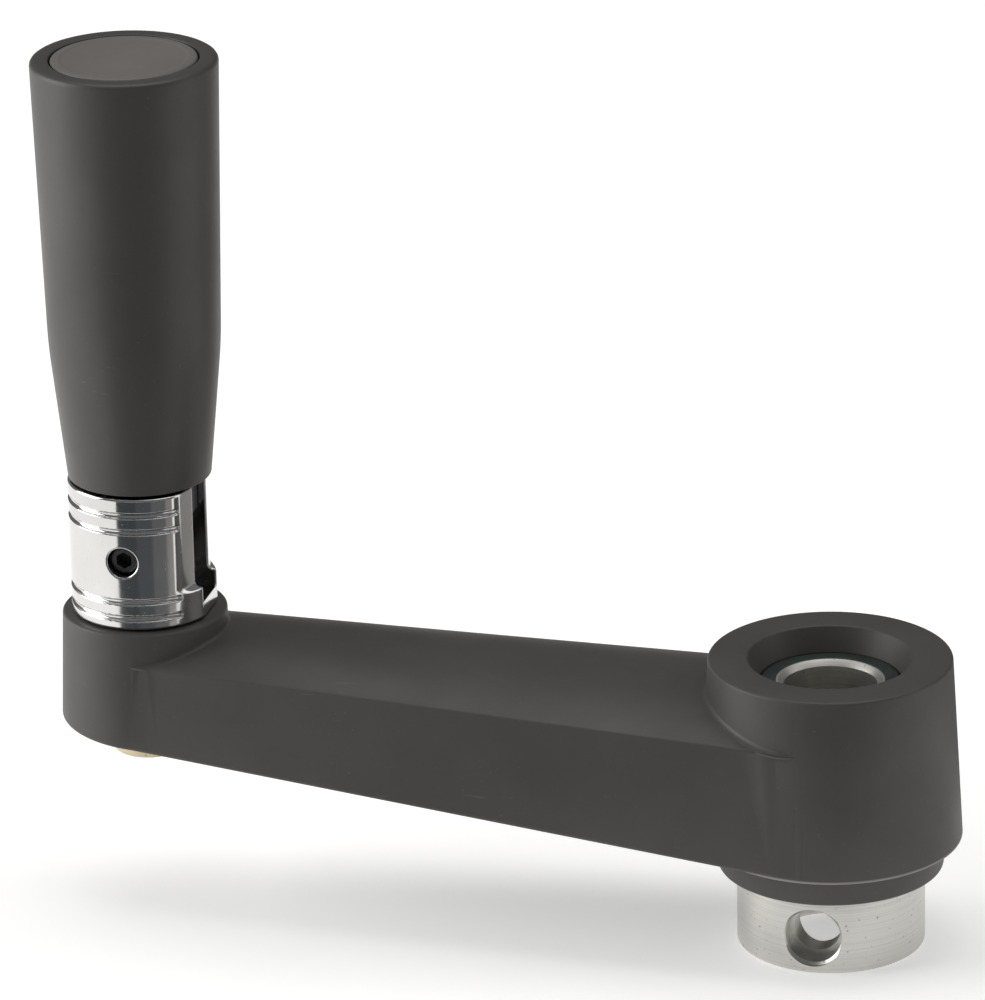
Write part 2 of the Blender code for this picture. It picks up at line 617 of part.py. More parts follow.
def build_grip(black, bronze, polymer, zinc, spin):
    lift = GRIP_BOTTOM + GRIP_LIFT
    clear = SPINDLE_RADIUS + GAP
    seat = GRIP_BUSH_RADIUS + GAP
    lower_top = LOWER_BUSH_FOOT + GRIP_BUSH_LENGTH
    upper_top = UPPER_BUSH_FOOT + GRIP_BUSH_LENGTH
    head_room = SPINDLE_HEAD_RADIUS + 1.2
    ceiling = CAP_FLOOR - 1.2
    throat = SPINDLE_RADIUS + 1.0
    outline = grip_outline()
    outline += [(GRIP_BOTTOM_RADIUS - 0.3, GRIP_BOTTOM), (NECK_RADIUS + 0.6, lift)]
    outline += [(NECK_RADIUS + 0.6, LOWER_BUSH_FOOT - GAP), (seat, LOWER_BUSH_FOOT - GAP)]
    outline += [(seat, lower_top + GAP), (throat, lower_top + GAP), (throat, UPPER_BUSH_FOOT - GAP)]
    outline += [(seat, UPPER_BUSH_FOOT - GAP), (seat, upper_top + GAP), (head_room, upper_top + GAP)]
    outline += [(head_room, ceiling), (CAP_SEAT_RADIUS, ceiling), (CAP_SEAT_RADIUS, CAP_FLOOR)]
    outline += [(CAP_RADIUS + GAP, CAP_FLOOR), (CAP_RADIUS + GAP, GRIP_TOP - 0.3)]
    outline += [(CAP_RADIUS + 0.6, GRIP_TOP)]
    add_object("grip_sleeve", turned(outline, HANDLE), black, spin)
    for name, foot in (("grip_lower_bush", LOWER_BUSH_FOOT), ("grip_upper_bush", UPPER_BUSH_FOOT)):
        bush = ring(clear, GRIP_BUSH_RADIUS, foot, foot + GRIP_BUSH_LENGTH, HANDLE, segments=32)
        add_object(name, bush, bronze, spin)
    thrust = ring(clear, THRUST_RADIUS, TONGUE_TOP + GAP, LOWER_BUSH_FOOT - 0.6, HANDLE, segments=32)
    add_object("thrust_washer", thrust, polymer, spin)
    head = ring(clear, 7.6, HEAD_WASHER_FOOT, HEAD_WASHER_FOOT + HEAD_WASHER_THICKNESS,
                HANDLE, segments=32)
    add_object("head_washer", head, zinc, spin)
    wave_foot = HEAD_WASHER_FOOT + HEAD_WASHER_THICKNESS + 0.25
    add_object("wave_washer", wavy(clear + 0.1, SPINDLE_HEAD_RADIUS, wave_foot, 0.6), zinc, spin)
    foot = CAP_FLOOR + GAP
    cap = [(0.0, foot), (CAP_SEAT_RADIUS, foot), (CAP_RADIUS, foot + 0.2), (CAP_RADIUS, GRIP_TOP - 0.4)]
    cap += [(CAP_RADIUS - 0.4, GRIP_TOP - 0.05), (0.0, GRIP_TOP)]
    add_object("end_cap", turned(cap, HANDLE), black, spin)


# ---------------------------------------------------------------- assembly

def main():
    for old in list(bpy.data.objects):
        bpy.data.objects.remove(old)
    black = material("black_plastic", (0.045, 0.043, 0.042), 0.55, 0.0)
    chrome = material("chrome_plate", (0.78, 0.79, 0.80), 0.08, 1.0)
    steel = material("turned_steel", (0.55, 0.54, 0.52), 0.32, 1.0)
    spring_steel = material("spring_steel", (0.30, 0.30, 0.31), 0.30, 1.0)
    zinc = material("zinc_plate", (0.62, 0.62, 0.60), 0.30, 1.0)
    bronze = material("bronze", (0.55, 0.38, 0.20), 0.40, 1.0)
    brass = material("yellow_zinc_plate", (0.60, 0.52, 0.36), 0.35, 1.0)
    coated = material("black_coated_steel", (0.03, 0.03, 0.03), 0.4, 1.0)
    polymer = material("thrust_polymer", (0.70, 0.68, 0.60), 0.50, 0.0)

    fold = pivot("fold_axis", (-CRANK_RADIUS, 0.0, PIVOT_HEIGHT))
    slide = pivot("plunger_axis", (-CRANK_RADIUS, 0.0, STUD_TOP))
    spin = pivot("grip_axis", (-CRANK_RADIUS, 0.0, GRIP_BOTTOM))

    build_arm(black)
    build_bush(steel)
    build_fork(chrome)
    build_pin(coated)
    build_fastening(steel, zinc, brass)
    build_detent(steel, spring_steel, slide)
    build_tongue(coated, fold)
    build_spindle(steel, bronze, zinc, fold)
    build_grip(black, bronze, polymer, zinc, spin)


main()
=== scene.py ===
# %% [markdown]
# # A crank handle with a fold-away revolving grip
# The real object is a machine operator's crank. A black plastic arm carries a turned steel
# bush that goes on a shaft, and a chromed fork in which the grip stands up or folds flat.
# The sizes and the moving parts come from a measured frame, which is loaded first. Every
# piece made below takes its place from that frame and stays inside its box.

# %% Load the measured frame
import json
import math

import bmesh
import bpy
import numpy as np
from mathutils import Matrix, Vector

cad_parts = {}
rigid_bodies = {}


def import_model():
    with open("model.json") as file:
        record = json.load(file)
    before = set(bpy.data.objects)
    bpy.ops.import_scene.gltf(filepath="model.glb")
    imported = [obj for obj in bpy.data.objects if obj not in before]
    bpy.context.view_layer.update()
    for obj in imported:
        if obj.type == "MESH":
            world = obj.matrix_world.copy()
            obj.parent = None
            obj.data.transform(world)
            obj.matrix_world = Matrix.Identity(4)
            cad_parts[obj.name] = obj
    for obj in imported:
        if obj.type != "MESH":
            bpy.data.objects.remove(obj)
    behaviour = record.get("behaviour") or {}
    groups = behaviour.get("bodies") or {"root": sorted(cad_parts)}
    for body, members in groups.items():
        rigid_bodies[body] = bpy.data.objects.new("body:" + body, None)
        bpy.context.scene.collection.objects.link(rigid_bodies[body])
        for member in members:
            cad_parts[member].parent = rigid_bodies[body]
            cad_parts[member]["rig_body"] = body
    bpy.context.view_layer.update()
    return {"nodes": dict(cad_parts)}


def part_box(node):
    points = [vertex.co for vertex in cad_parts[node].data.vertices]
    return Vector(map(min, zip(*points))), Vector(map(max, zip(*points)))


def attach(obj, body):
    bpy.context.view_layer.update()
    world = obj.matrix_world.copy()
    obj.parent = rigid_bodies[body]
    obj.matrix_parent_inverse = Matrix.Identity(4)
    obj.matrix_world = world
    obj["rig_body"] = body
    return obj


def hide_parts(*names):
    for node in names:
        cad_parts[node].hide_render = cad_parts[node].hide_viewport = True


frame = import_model()

# %% [markdown]
# ## Sizes
# The drawing below is in millimetres, as a machinist would write it, and each mesh is scaled
# to metres once. The places that the frame can tell are read from it: the handle's axis,
# the heights at which the pieces meet and their radii. What remains are edge roundings.

# %% Read the main places from the frame
MM = 0.001


def span(node, axis):
    """Lowest and highest place of a frame node along one axis, in millimetres."""
    low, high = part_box(node)
    return low[axis] / MM, high[axis] / MM


def half_size(node, axis):
    low, high = span(node, axis)
    return (high - low) / 2.0


pin_x = span("pivot_pin", 0)
HANDLE_X = (pin_x[0] + pin_x[1]) / 2.0
PIVOT_Z = sum(span("pivot_pin", 2)) / 2.0
HUB_FOOT, HUB_TOP = 19.1, span("crank_arm", 2)[1]
FORK_FOOT, FORK_TOP = span("fork_body", 2)
GRIP_FOOT, GRIP_TOP = span("grip_sleeve", 2)
BUSH_TOP = span("hub_bush", 2)[1]
BUSH_R = half_size("hub_bush", 0)
FORK_R = half_size("fork_body", 1)
GRIP_R = half_size("grip_sleeve", 0)
CAP_R = half_size("end_cap", 0)
CLEAR_R = 4.3
GRIP_BUSH_SEAT_R = 6.3
HEAD_SEAT_Z = 137.0
LOCK_PIN_Z = 72.4
EYE_BUSH_R = 3.4
GRIP_CONE = 3.9
print("handle axis x", round(HANDLE_X, 2), "pivot height", round(PIVOT_Z, 2))
print("fork", round(FORK_FOOT, 2), "to", round(FORK_TOP, 2), "radius", round(FORK_R, 2))

# %% [markdown]
# ## Camera
# The handle is looked at a little from the right and from 21 degrees above, with a long lens,
# so that the fork and the hub are seen at nearly the same scale. The camera comes before the
# pieces, because every later choice of detail depends on how large a piece shows.

# %% Stand the camera
AZIMUTH, ELEVATION, ROLL = (math.radians(a) for a in (14.296, 21.017, -1.177))
DISTANCE = 1.2306
FOCUS = 7193.3
PICTURE_HEIGHT = 1000
SENSOR = 36.0

back = Vector((math.sin(AZIMUTH) * math.cos(ELEVATION),
               -math.cos(AZIMUTH) * math.cos(ELEVATION), math.sin(ELEVATION)))
level = Vector((math.cos(AZIMUTH), math.sin(AZIMUTH), 0.0))
upward = back.cross(level)
aim = Vector((-0.06, 0.0, 0.0288)) + 0.00192 * level + 0.04307 * upward
across = level * math.cos(ROLL) + upward * math.sin(ROLL)
above = upward * math.cos(ROLL) - level * math.sin(ROLL)

lens = bpy.data.cameras.new("camera")
lens.sensor_width = SENSOR
lens.sensor_height = SENSOR
lens.sensor_fit = "VERTICAL"
lens.lens = FOCUS / PICTURE_HEIGHT * SENSOR
lens.clip_end = 20.0
camera = bpy.data.objects.new("camera", lens)
bpy.context.scene.collection.objects.link(camera)
turn = Matrix((across, above, back)).transposed()
camera.matrix_world = Matrix.Translation(aim + back * DISTANCE) @ turn.to_4x4()
bpy.context.scene.camera = camera
print("lens", round(lens.lens, 1), "mm at", DISTANCE, "m")

# %% [markdown]
# ## Node trees written as sums
# A finish is a sum of small causes: a grain, a scratch, a change of gloss. Written as nodes
# by hand, ten of them hide what happens. So a small class wraps a socket, and an ordinary
# expression such as `0.4 + 0.1 * grain` adds the Math nodes. One method makes any other
# node. The same two classes serve the shapes made with Geometry Nodes.

# %% Wires and trees


class Wire:
    """One output socket, which takes part in expressions."""

    def __init__(self, tree, socket):
        self.tree = tree
        self.socket = socket

    def math(self, operation, first, second=None):
        values = {0: first} if second is None else {0: first, 1: second}
        return self.tree.node("ShaderNodeMath", {"operation": operation}, values)

    def __add__(self, other):
        return self.math("ADD", self, other)

    def __radd__(self, other):
        return self.math("ADD", other, self)

    def __sub__(self, other):
        return self.math("SUBTRACT", self, other)

    def __rsub__(self, other):
        return self.math("SUBTRACT", other, self)

    def __mul__(self, other):
        return self.math("MULTIPLY", self, other)

    def __rmul__(self, other):
        return self.math("MULTIPLY", other, self)

    def __truediv__(self, other):
        return self.math("DIVIDE", self, other)

    def least(self, other):
        return self.math("MINIMUM", self, other)

    def most(self, other):
        return self.math("MAXIMUM", self, other)

    def between(self, low, high):
        """0 below low, 1 above high and a straight ramp between them."""
        return self.tree.node("ShaderNodeMapRange", {"clamp": True},
                              {"Value": self, "From Min": low, "From Max": high})


class Tree:
    """A node tree, of a material or of a shape."""

    def __init__(self, nodes):
        self.nodes = nodes

    def node(self, kind, settings=None, values=None, output=0):
        made = self.nodes.nodes.new(kind)
        for key, value in (settings or {}).items():
            setattr(made, key, value)
        for key, value in (values or {}).items():
            socket = made.inputs[key]
            if isinstance(value, Wire):
                self.nodes.links.new(value.socket, socket)
            else:
                socket.default_value = value
        return Wire(self, made.outputs[output])

    def parts(self, vector):
        made = self.nodes.nodes.new("ShaderNodeSeparateXYZ")
        self.nodes.links.new(vector.socket, made.inputs[0])
        return [Wire(self, made.outputs[i]) for i in range(3)]

    def vector(self, x, y, z):
        return self.node("ShaderNodeCombineXYZ", {}, {"X": x, "Y": y, "Z": z})


print("wires and trees are ready")

# %% [markdown]
# ## Shapes turned on a lathe
# Most of the inner pieces are turned: bushes, washers, the spindle, the grip itself. Their
# rule is an outline carried round an axis. A Geometry Nodes tree does it: a grid has one row
# for each corner of the outline and one column for each step of the turn, and every point
# goes to its corner's radius and height at its column's angle. The poles and the seam are
# closed by merging. The outline itself is drawn in Python, with each corner eased by its own
# radius, because no turned edge on the real object is sharp.

# %% Ease the corners of an outline


def eased(corners, closed=True, steps=4):
    """Rounds each corner given as (radius, height, rounding) and returns plain points."""
    points = []
    count = len(corners)
    for i, corner in enumerate(corners):
        here = np.array(corner[:2], float)
        rounding = corner[2] if len(corner) > 2 else 0.0
        at_end = not closed and i in (0, count - 1)
        before = np.array(corners[i - 1][:2], float) - here
        after = np.array(corners[(i + 1) % count][:2], float) - here
        if rounding <= 0.0 or at_end:
            points.append(tuple(here))
            continue
        long_before, long_after = np.linalg.norm(before), np.linalg.norm(after)
        before, after = before / long_before, after / long_after
        half = 0.5 * math.acos(float(np.clip(before @ after, -1.0, 1.0)))
        reach = min(rounding / math.tan(half), 0.49 * long_before, 0.49 * long_after)
        radius = reach * math.tan(half)
        middle = here + (before + after) / np.linalg.norm(before + after) * radius / math.sin(half)
        first, last = here + before * reach - middle, here + after * reach - middle
        start = math.atan2(first[1], first[0])
        sweep = math.atan2(last[1], last[0]) - start
        sweep = (sweep + math.pi) % (2.0 * math.pi) - math.pi
        for step in range(steps + 1):
            angle = start + sweep * step / steps
            points.append((middle[0] + radius * math.cos(angle),
                           middle[1] + radius * math.sin(angle)))
    return points


print("a square's corners eased:", len(eased([(0, 0, .1), (1, 0, .1), (1, 1, .1), (0, 1, .1)])))

# %% Build the lathe tree
SAME_SPOT = 0.000001


def new_shape_tree(name, sockets):
    """An empty Geometry Nodes tree with named inputs, and the wires of those inputs."""
    group = bpy.data.node_groups.new(name, "GeometryNodeTree")
    group.interface.new_socket("Piece", in_out="OUTPUT", socket_type="NodeSocketGeometry")
    for title, kind in sockets:
        group.interface.new_socket(title, in_out="INPUT", socket_type="NodeSocket" + kind)
    tree = Tree(group)
    entry = group.nodes.new("NodeGroupInput")
    wires = {title: Wire(tree, entry.outputs[title]) for title, kind in sockets}
    return tree, wires


def end_shape_tree(tree, piece, finish):
    """Every tree ends the same way: instances made real, the finish set, the result out."""
    real = tree.node("GeometryNodeRealizeInstances", {}, {"Geometry": piece})
    dressed = tree.node("GeometryNodeSetMaterial", {}, {"Geometry": real, "Material": finish})
    way_out = tree.nodes.nodes.new("NodeGroupOutput")
    tree.nodes.links.new(dressed.socket, way_out.inputs["Piece"])


def wrap_grid(tree, given, grid, radius, angle, height):
    """Puts the grid's points at their radius, angle and height, and closes seam and poles."""
    spot = tree.vector(radius * angle.math("COSINE", angle),
                       radius * angle.math("SINE", angle), height)
    moved = tree.node("ShaderNodeVectorMath", {"operation": "ADD"},
                      {0: spot, 1: given["Centre"]})
    shaped = tree.node("GeometryNodeSetPosition", {}, {"Geometry": grid, "Position": moved})
    closed = tree.node("GeometryNodeMergeByDistance", {},
                       {"Geometry": shaped, "Distance": SAME_SPOT})
    end_shape_tree(tree, closed, given["Finish"])


def lathe_tree():
    tree, given = new_shape_tree("turned piece", [
        ("Outline", "Geometry"), ("Segments", "Int"), ("Centre", "Vector"),
        ("Finish", "Material")])
    corners = tree.node("GeometryNodeAttributeDomainSize", {"component": "MESH"},
                        {"Geometry": given["Outline"]}, "Point Count")
    columns = given["Segments"] + 1.0
    grid = tree.node("GeometryNodeMeshGrid", {}, {
        "Size X": 1.0, "Size Y": 1.0, "Vertices X": columns, "Vertices Y": corners})
    place = tree.node("GeometryNodeInputPosition")
    along, row, _ = tree.parts(place)
    number = tree.node("ShaderNodeMath", {"operation": "ROUND"},
                       {0: (row + 0.5) * (corners - 1.0)})
    where = tree.node("GeometryNodeInputPosition")
    corner = tree.node("GeometryNodeSampleIndex",
                       {"data_type": "FLOAT_VECTOR", "domain": "POINT"},
                       {"Geometry": given["Outline"], "Value": where, "Index": number})
    radius, _, height = tree.parts(corner)
    angle = (along + 0.5) * (2.0 * math.pi)
    wrap_grid(tree, given, grid, radius, angle, height)
    return tree.nodes


LATHE = lathe_tree()
print("lathe tree:", len(LATHE.nodes), "nodes")

# %% Turn a tree's result into a plain piece
SHARP = math.radians(38.0)


def link(name, mesh):
    made = bpy.data.objects.new(name, mesh)
    bpy.context.scene.collection.objects.link(made)
    return made


def smooth(mesh, sharp=SHARP):
    mesh.shade_smooth()
    mesh.set_sharp_from_angle(angle=sharp)


def closed_up(mesh):
    """Merges what lies on the same spot and turns every face outwards."""
    bm = bmesh.new()
    bm.from_mesh(mesh)
    bmesh.ops.remove_doubles(bm, verts=bm.verts, dist=0.0000015)
    bmesh.ops.dissolve_degenerate(bm, edges=bm.edges, dist=0.0000005)
    bmesh.ops.recalc_face_normals(bm, faces=bm.faces)
    loose = sum(1 for edge in bm.edges if len(edge.link_faces) != 2)
    bm.to_mesh(mesh)
    bm.free()
    return loose


def dress(mesh, finish):
    """Gives the whole mesh one finish."""
    mesh.materials.clear()
    if finish is not None:
        mesh.materials.append(finish)
    for polygon in mesh.polygons:
        polygon.material_index = 0


def grown(name, seed_mesh, group, values):
    """Runs a shape tree on a seed mesh and keeps the result as a plain mesh."""
    seed = link(name + "_seed", seed_mesh)
    modifier = seed.modifiers.new("shape", "NODES")
    modifier.node_group = group
    keys = {item.name: item.identifier for item in group.interface.items_tree
            if item.in_out == "INPUT"}
    for title, value in values.items():
        modifier[keys[title]] = value
    bpy.context.view_layer.update()
    graph = bpy.context.evaluated_depsgraph_get()
    mesh = bpy.data.meshes.new_from_object(seed.evaluated_get(graph))
    mesh.name = name
    bpy.data.objects.remove(seed)
    dress(mesh, values.get("Finish"))
    open_edges = closed_up(mesh)
    smooth(mesh)
    piece = link(name, mesh)
    if open_edges:
        print("  note:", name, "has", open_edges, "open edges")
    return piece


def outline_mesh(points):
    """An outline as a chain of points, in metres, closed by repeating the first point."""
    mesh = bpy.data.meshes.new("outline")
    places = [(r * MM, 0.0, z * MM) for r, z in points]
    mesh.from_pydata(places, [(i, i + 1) for i in range(len(places) - 1)], [])
    return mesh


def turned(name, corners, finish=None, x=0.0, segments=96):
    """A turned piece from eased corners. A solid one starts and ends on the axis."""
    solid = corners[0][0] == 0.0 and corners[-1][0] == 0.0
    points = eased(corners, closed=not solid)
    if not solid:
        points = points + points[:1]
    values = {"Segments": segments, "Centre": (x * MM, 0.0, 0.0)}
    if finish is not None:
        values["Finish"] = finish
    return grown(name, outline_mesh(points), LATHE, values)


print("pieces can be turned now")

# %% [markdown]
# ## Finishes
# There are four families on this handle: moulded black plastic with a fine eroded grain,
# polished chrome over a casting, steel straight from the lathe with its circular tool marks,
# and small plated or sintered inner pieces. Each family is one function, so that two pieces
# of the same stuff differ only in numbers. Everything reads Object coordinates, in metres,
# so a scale of 1000 means one feature for each millimetre.

# %% Start a finish


class Finish:
    """A material with its shader and a few patterns that every family uses."""

    def __init__(self, name, **constants):
        self.material = bpy.data.materials.new(name)
        self.material.use_nodes = True
        self.tree = Tree(self.material.node_tree)
        self.shader = self.tree.nodes.nodes["Principled BSDF"]
        for socket, value in constants.items():
            self.shader.inputs[socket.replace("_", " ")].default_value = value
        self.place = self.tree.node("ShaderNodeTexCoord", {}, {}, "Object")

    def noise(self, scale, detail=3.0, stretch=(1.0, 1.0, 1.0), roughness=0.5):
        where = self.place
        if stretch != (1.0, 1.0, 1.0):
            where = self.tree.node("ShaderNodeMapping", {}, {"Vector": where, "Scale": stretch})
        return self.tree.node("ShaderNodeTexNoise", {}, {
            "Vector": where, "Scale": scale, "Detail": detail, "Roughness": roughness})

    def blend(self, amount, first, second):
        return self.tree.node("ShaderNodeMix", {"data_type": "RGBA"},
                              {0: amount, 6: self.shade(first), 7: self.shade(second)}, 2)

    @staticmethod
    def shade(colour):
        return colour if isinstance(colour, Wire) else (*colour, 1.0)

    def feed(self, socket, wire):
        self.tree.nodes.links.new(wire.socket, self.shader.inputs[socket])

    def bump(self, height, depth):
        """Relief of the given depth in metres, for a height that runs from 0 to 1."""
        relief = self.tree.node("ShaderNodeBump", {}, {
            "Height": height, "Distance": depth, "Strength": 1.0}, "Normal")
        self.feed("Normal", relief)


print("a finish starts with", len(Finish("trial").tree.nodes.nodes), "nodes")
bpy.data.materials.remove(bpy.data.materials["trial"])

# %% [markdown]
# ### Black plastic
# The mould is spark-eroded, so the plastic carries a grain of about a third of a millimetre,
# which scatters the light and makes black look charcoal. Glass fibre makes faint paler
# clouds in it. Handling leaves thin pale scuffs and a few specks of dust, more on the grip,
# and polishes the grain a little where a hand rubs.

# %% Mix the plastics


def plastic(name, dark, pale, gloss, grain_depth, wear, edge=None):
    """Moulded plastic; edge names the height and radius (mm) of a corner painted with a pale
    highlight line.
    """
    made = Finish(name, IOR=1.5)
    clouds = made.noise(55.0, 4.0).between(0.3, 0.7)
    grain = made.noise(2600.0, 2.0, roughness=0.6)
    coarse = made.noise(900.0, 2.0)
    dust = made.noise(1500.0, 1.0).between(0.735, 0.775) * made.noise(90.0, 2.0)
    lines = made.noise(1.0, 3.0, stretch=(130.0, 1900.0, 1300.0)).between(0.66, 0.74)
    marks = (lines * made.noise(38.0, 2.0).between(0.5, 0.66)).most(dust) * wear
    base = made.blend(clouds * 0.7 + grain * 0.3, dark, pale)
    base = made.blend(marks * 0.55, base, [3.2 * c + 0.03 for c in pale])
    # Painted highlight: a pale line round the rounded corner at that height, standing in for the
    # light that the corner catches.
    if edge:
        height, inner = edge
        x, y, z = made.tree.parts(made.place)
        radius = (x * x + y * y).math("SQRT", x * x + y * y)
        above = 1.0 - z.between((height + 0.4) * MM, (height + 0.6) * MM)
        painted_edge_highlight = above * z.between((height - 0.1) * MM, height * MM)
        painted_edge_highlight = painted_edge_highlight * radius.between(inner * MM, (inner + 0.15) * MM)
        base = made.blend(painted_edge_highlight * 0.8, base, [4.0 * c for c in pale])
    made.feed("Base Color", base)
    made.feed("Roughness", gloss + 0.12 * (grain - 0.5) - 0.08 * (clouds - 0.5) + 0.15 * marks)
    made.bump(grain * 0.6 + coarse * 0.4 - lines * 0.15, grain_depth)
    return made.material


# The arm's finish paints a pale highlight line round the hub's foot.
arm_plastic = plastic("moulded black plastic", (0.051, 0.0475, 0.044), (0.069, 0.0645, 0.060),
                      0.52, 0.000022, 0.35, edge=(HUB_FOOT, 21.9))
grip_plastic = plastic("grip black plastic", (0.043, 0.040, 0.0375), (0.058, 0.054, 0.0505),
                       0.46, 0.000012, 0.3)
cap_plastic = plastic("cap black plastic", (0.130, 0.119, 0.110), (0.165, 0.151, 0.140),
                      0.50, 0.000014, 0.3)
coated_steel = plastic("black coated steel", (0.018, 0.018, 0.019), (0.030, 0.030, 0.031),
                       0.40, 0.000008, 0.7)
polymer = plastic("natural thrust polymer", (0.62, 0.60, 0.54), (0.72, 0.70, 0.63),
                  0.45, 0.000006, 0.2)
print("plastics mixed:", arm_plastic.name, "and four more")

# %% [markdown]
# ### Metals
# Turned steel keeps the fine rings that the tool leaves. On the outside they follow the
# height and on a flat end they follow the radius, so one number that adds the two draws
# both. Chrome is nearly a mirror: what shows is the soft unevenness of the casting under it
# and a few wiping marks. Zinc, bronze and spring steel are duller, each with its own stain.

# %% Mix the metals
# Dark grey-green painted shade for the bush's top face, standing in for its shadow and the dark
# reflection of the recess above it.
PAINTED_SHADE_TONE = (0.095, 0.125, 0.118)


def metal(name, dark, pale, gloss, rings=0.0, ring_scale=4000.0, centre_x=0.0,
          waves=0.0, spots=0.3, stain=None, painted_shade_top=None):
    """Bare or plated metal; the last argument gives the height and radius (mm) beyond which the top
    face is painted dark as shade.
    """
    made = Finish(name, Metallic=1.0)
    tree = made.tree
    local = tree.node("ShaderNodeVectorMath", {"operation": "SUBTRACT"},
                      {0: made.place, 1: (centre_x * MM, 0.0, 0.0)})
    x, y, z = tree.parts(local)
    radius = (x * x + y * y).math("SQRT", x * x + y * y)
    reach = radius + z
    tool = tree.node("ShaderNodeTexNoise", {"noise_dimensions": "1D"},
                     {"W": reach, "Scale": ring_scale, "Detail": 3.0})
    clouds = made.noise(70.0, 4.0).between(0.32, 0.68)
    wipes = made.noise(1.0, 2.0, stretch=(260.0, 300.0, 2600.0)).between(0.62, 0.74)
    specks = made.noise(1300.0, 1.0).between(0.72, 0.76)
    tone = clouds * (1.0 - 0.6 * rings) + tool.between(0.3, 0.7) * (0.6 * rings)
    base = made.blend(tone, dark, pale)
    # Painted shade: above that height and beyond that radius the top face is painted dark
    # grey-green.
    base = made.blend(specks * spots, base, stain or [0.35 * c for c in dark])
    if painted_shade_top:
        low, inner = painted_shade_top
        beyond = radius.between(inner * MM, (inner + 0.15) * MM)
        painted_shade_mask = z.between(low * MM, (low + 0.1) * MM) * beyond
        base = made.blend(painted_shade_mask, base, PAINTED_SHADE_TONE)
    made.feed("Base Color", base)
    made.feed("Roughness", gloss + 0.5 * gloss * (clouds - 0.5) + 0.10 * rings * (tool - 0.5)
              + wipes * 0.06 + specks * 0.2)
    swell = made.noise(160.0, 1.0)
    made.bump(tool * rings + swell * waves + wipes * 0.05, 0.000010)
    return made.material


chrome = metal("polished chrome plate", (0.64, 0.635, 0.625), (0.72, 0.712, 0.70), 0.12,
               waves=2.2, spots=0.15, centre_x=HANDLE_X)
turned_steel = metal("turned steel", (0.50, 0.495, 0.47), (0.66, 0.65, 0.62), 0.30,
                     rings=0.9, ring_scale=2600.0, waves=0.3, spots=0.7)
# The bush's finish has its top face painted dark as shade at the bottom of the hub's recess.
bush_steel = metal("turned bush steel", (0.54, 0.535, 0.505), (0.72, 0.705, 0.665), 0.40,
                   rings=0.8, ring_scale=2600.0, waves=0.3, spots=0.45, painted_shade_top=(BUSH_TOP - 0.3, 9.1))
spindle_steel = metal("ground steel", (0.48, 0.48, 0.47), (0.60, 0.60, 0.59), 0.24,
                      rings=0.5, ring_scale=5200.0, centre_x=HANDLE_X)
spring_steel = metal("drawn spring wire", (0.26, 0.26, 0.28), (0.38, 0.38, 0.40), 0.28,
                     rings=0.2, centre_x=HANDLE_X)
zinc = metal("bright zinc plate", (0.56, 0.58, 0.60), (0.68, 0.69, 0.70), 0.30,
             rings=0.3, centre_x=HANDLE_X, spots=0.5)
bronze = metal("sintered bronze", (0.42, 0.27, 0.13), (0.60, 0.42, 0.23), 0.42,
               centre_x=HANDLE_X, spots=0.8, stain=(0.08, 0.05, 0.03))
yellow_zinc = metal("yellow zinc plate", (0.56, 0.47, 0.30), (0.70, 0.62, 0.44), 0.34,
                    rings=0.5, ring_scale=3000.0, centre_x=HANDLE_X, spots=0.6)
print("metals mixed:", chrome.name, "and seven more")

# %% [markdown]
# ## Putting a piece in place
# A finished piece rides on the body that its frame node rides on and stands for that node.

# %% Settle a piece
made_pieces = []


def settle(piece, node):
    """Rides the piece on its node's body and stands it for the node."""
    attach(piece, frame["nodes"][node]["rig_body"])
    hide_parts(node)
    made_pieces.append(piece)
    low = [round(min(v.co[i] for v in piece.data.vertices) / MM, 2) for i in range(3)]
    high = [round(max(v.co[i] for v in piece.data.vertices) / MM, 2) for i in range(3)]
    print(f"  {piece.name}: {len(piece.data.polygons)} faces, {low} to {high}")
    return piece


# %% [markdown]
# ## The grip
# The grip is a hollow plastic sleeve: a rounded rim, a slow taper down to a soft knee, then
# a faster taper to a foot that is hollowed into a cone, so that it clears the fork when it
# folds. Its outside follows a rule, so it is one outline on the lathe. The knee is drawn as
# a corner with a very large rounding.

# %% Turn the grip
GRIP_FOOT_R = 12.25
KNEE_R, KNEE_Z = 14.65, 99.5
CAP_GAP = 0.3
NECK_HOLE_R, THROAT_R, HEAD_ROOM_R = 7.7, 5.0, 8.2
LOWER_SEAT, UPPER_SEAT_Z, CEILING_Z = (82.4, 92.0), 127.0, 145.4
CAP_FLOOR = span("end_cap", 2)[0]

grip_corners = [
    (CAP_R + CAP_GAP, GRIP_TOP - 0.05, 0.25), (GRIP_R, GRIP_TOP, 0.9),
    (KNEE_R, KNEE_Z, 90.0), (GRIP_FOOT_R, GRIP_FOOT, 0.25),
    (GRIP_FOOT_R - 0.9, GRIP_FOOT + 0.3, 0.2), (NECK_HOLE_R, GRIP_FOOT + GRIP_CONE, 0.4),
    (NECK_HOLE_R, LOWER_SEAT[0], 0.2), (GRIP_BUSH_SEAT_R, LOWER_SEAT[0], 0.2),
    (GRIP_BUSH_SEAT_R, LOWER_SEAT[1], 0.2), (THROAT_R, LOWER_SEAT[1], 0.3),
    (THROAT_R, UPPER_SEAT_Z, 0.3), (GRIP_BUSH_SEAT_R, UPPER_SEAT_Z, 0.2),
    (GRIP_BUSH_SEAT_R, HEAD_SEAT_Z, 0.2), (HEAD_ROOM_R, HEAD_SEAT_Z, 0.2),
    (HEAD_ROOM_R, CEILING_Z, 0.3), (CAP_R - 1.5, CEILING_Z, 0.3),
    (CAP_R - 1.5, CAP_FLOOR - 0.3, 0.1),
    (CAP_R + CAP_GAP, CAP_FLOOR - 0.3, 0.1)]
grip = turned("grip", grip_corners, grip_plastic, HANDLE_X, 144)
settle(grip, "grip_sleeve")

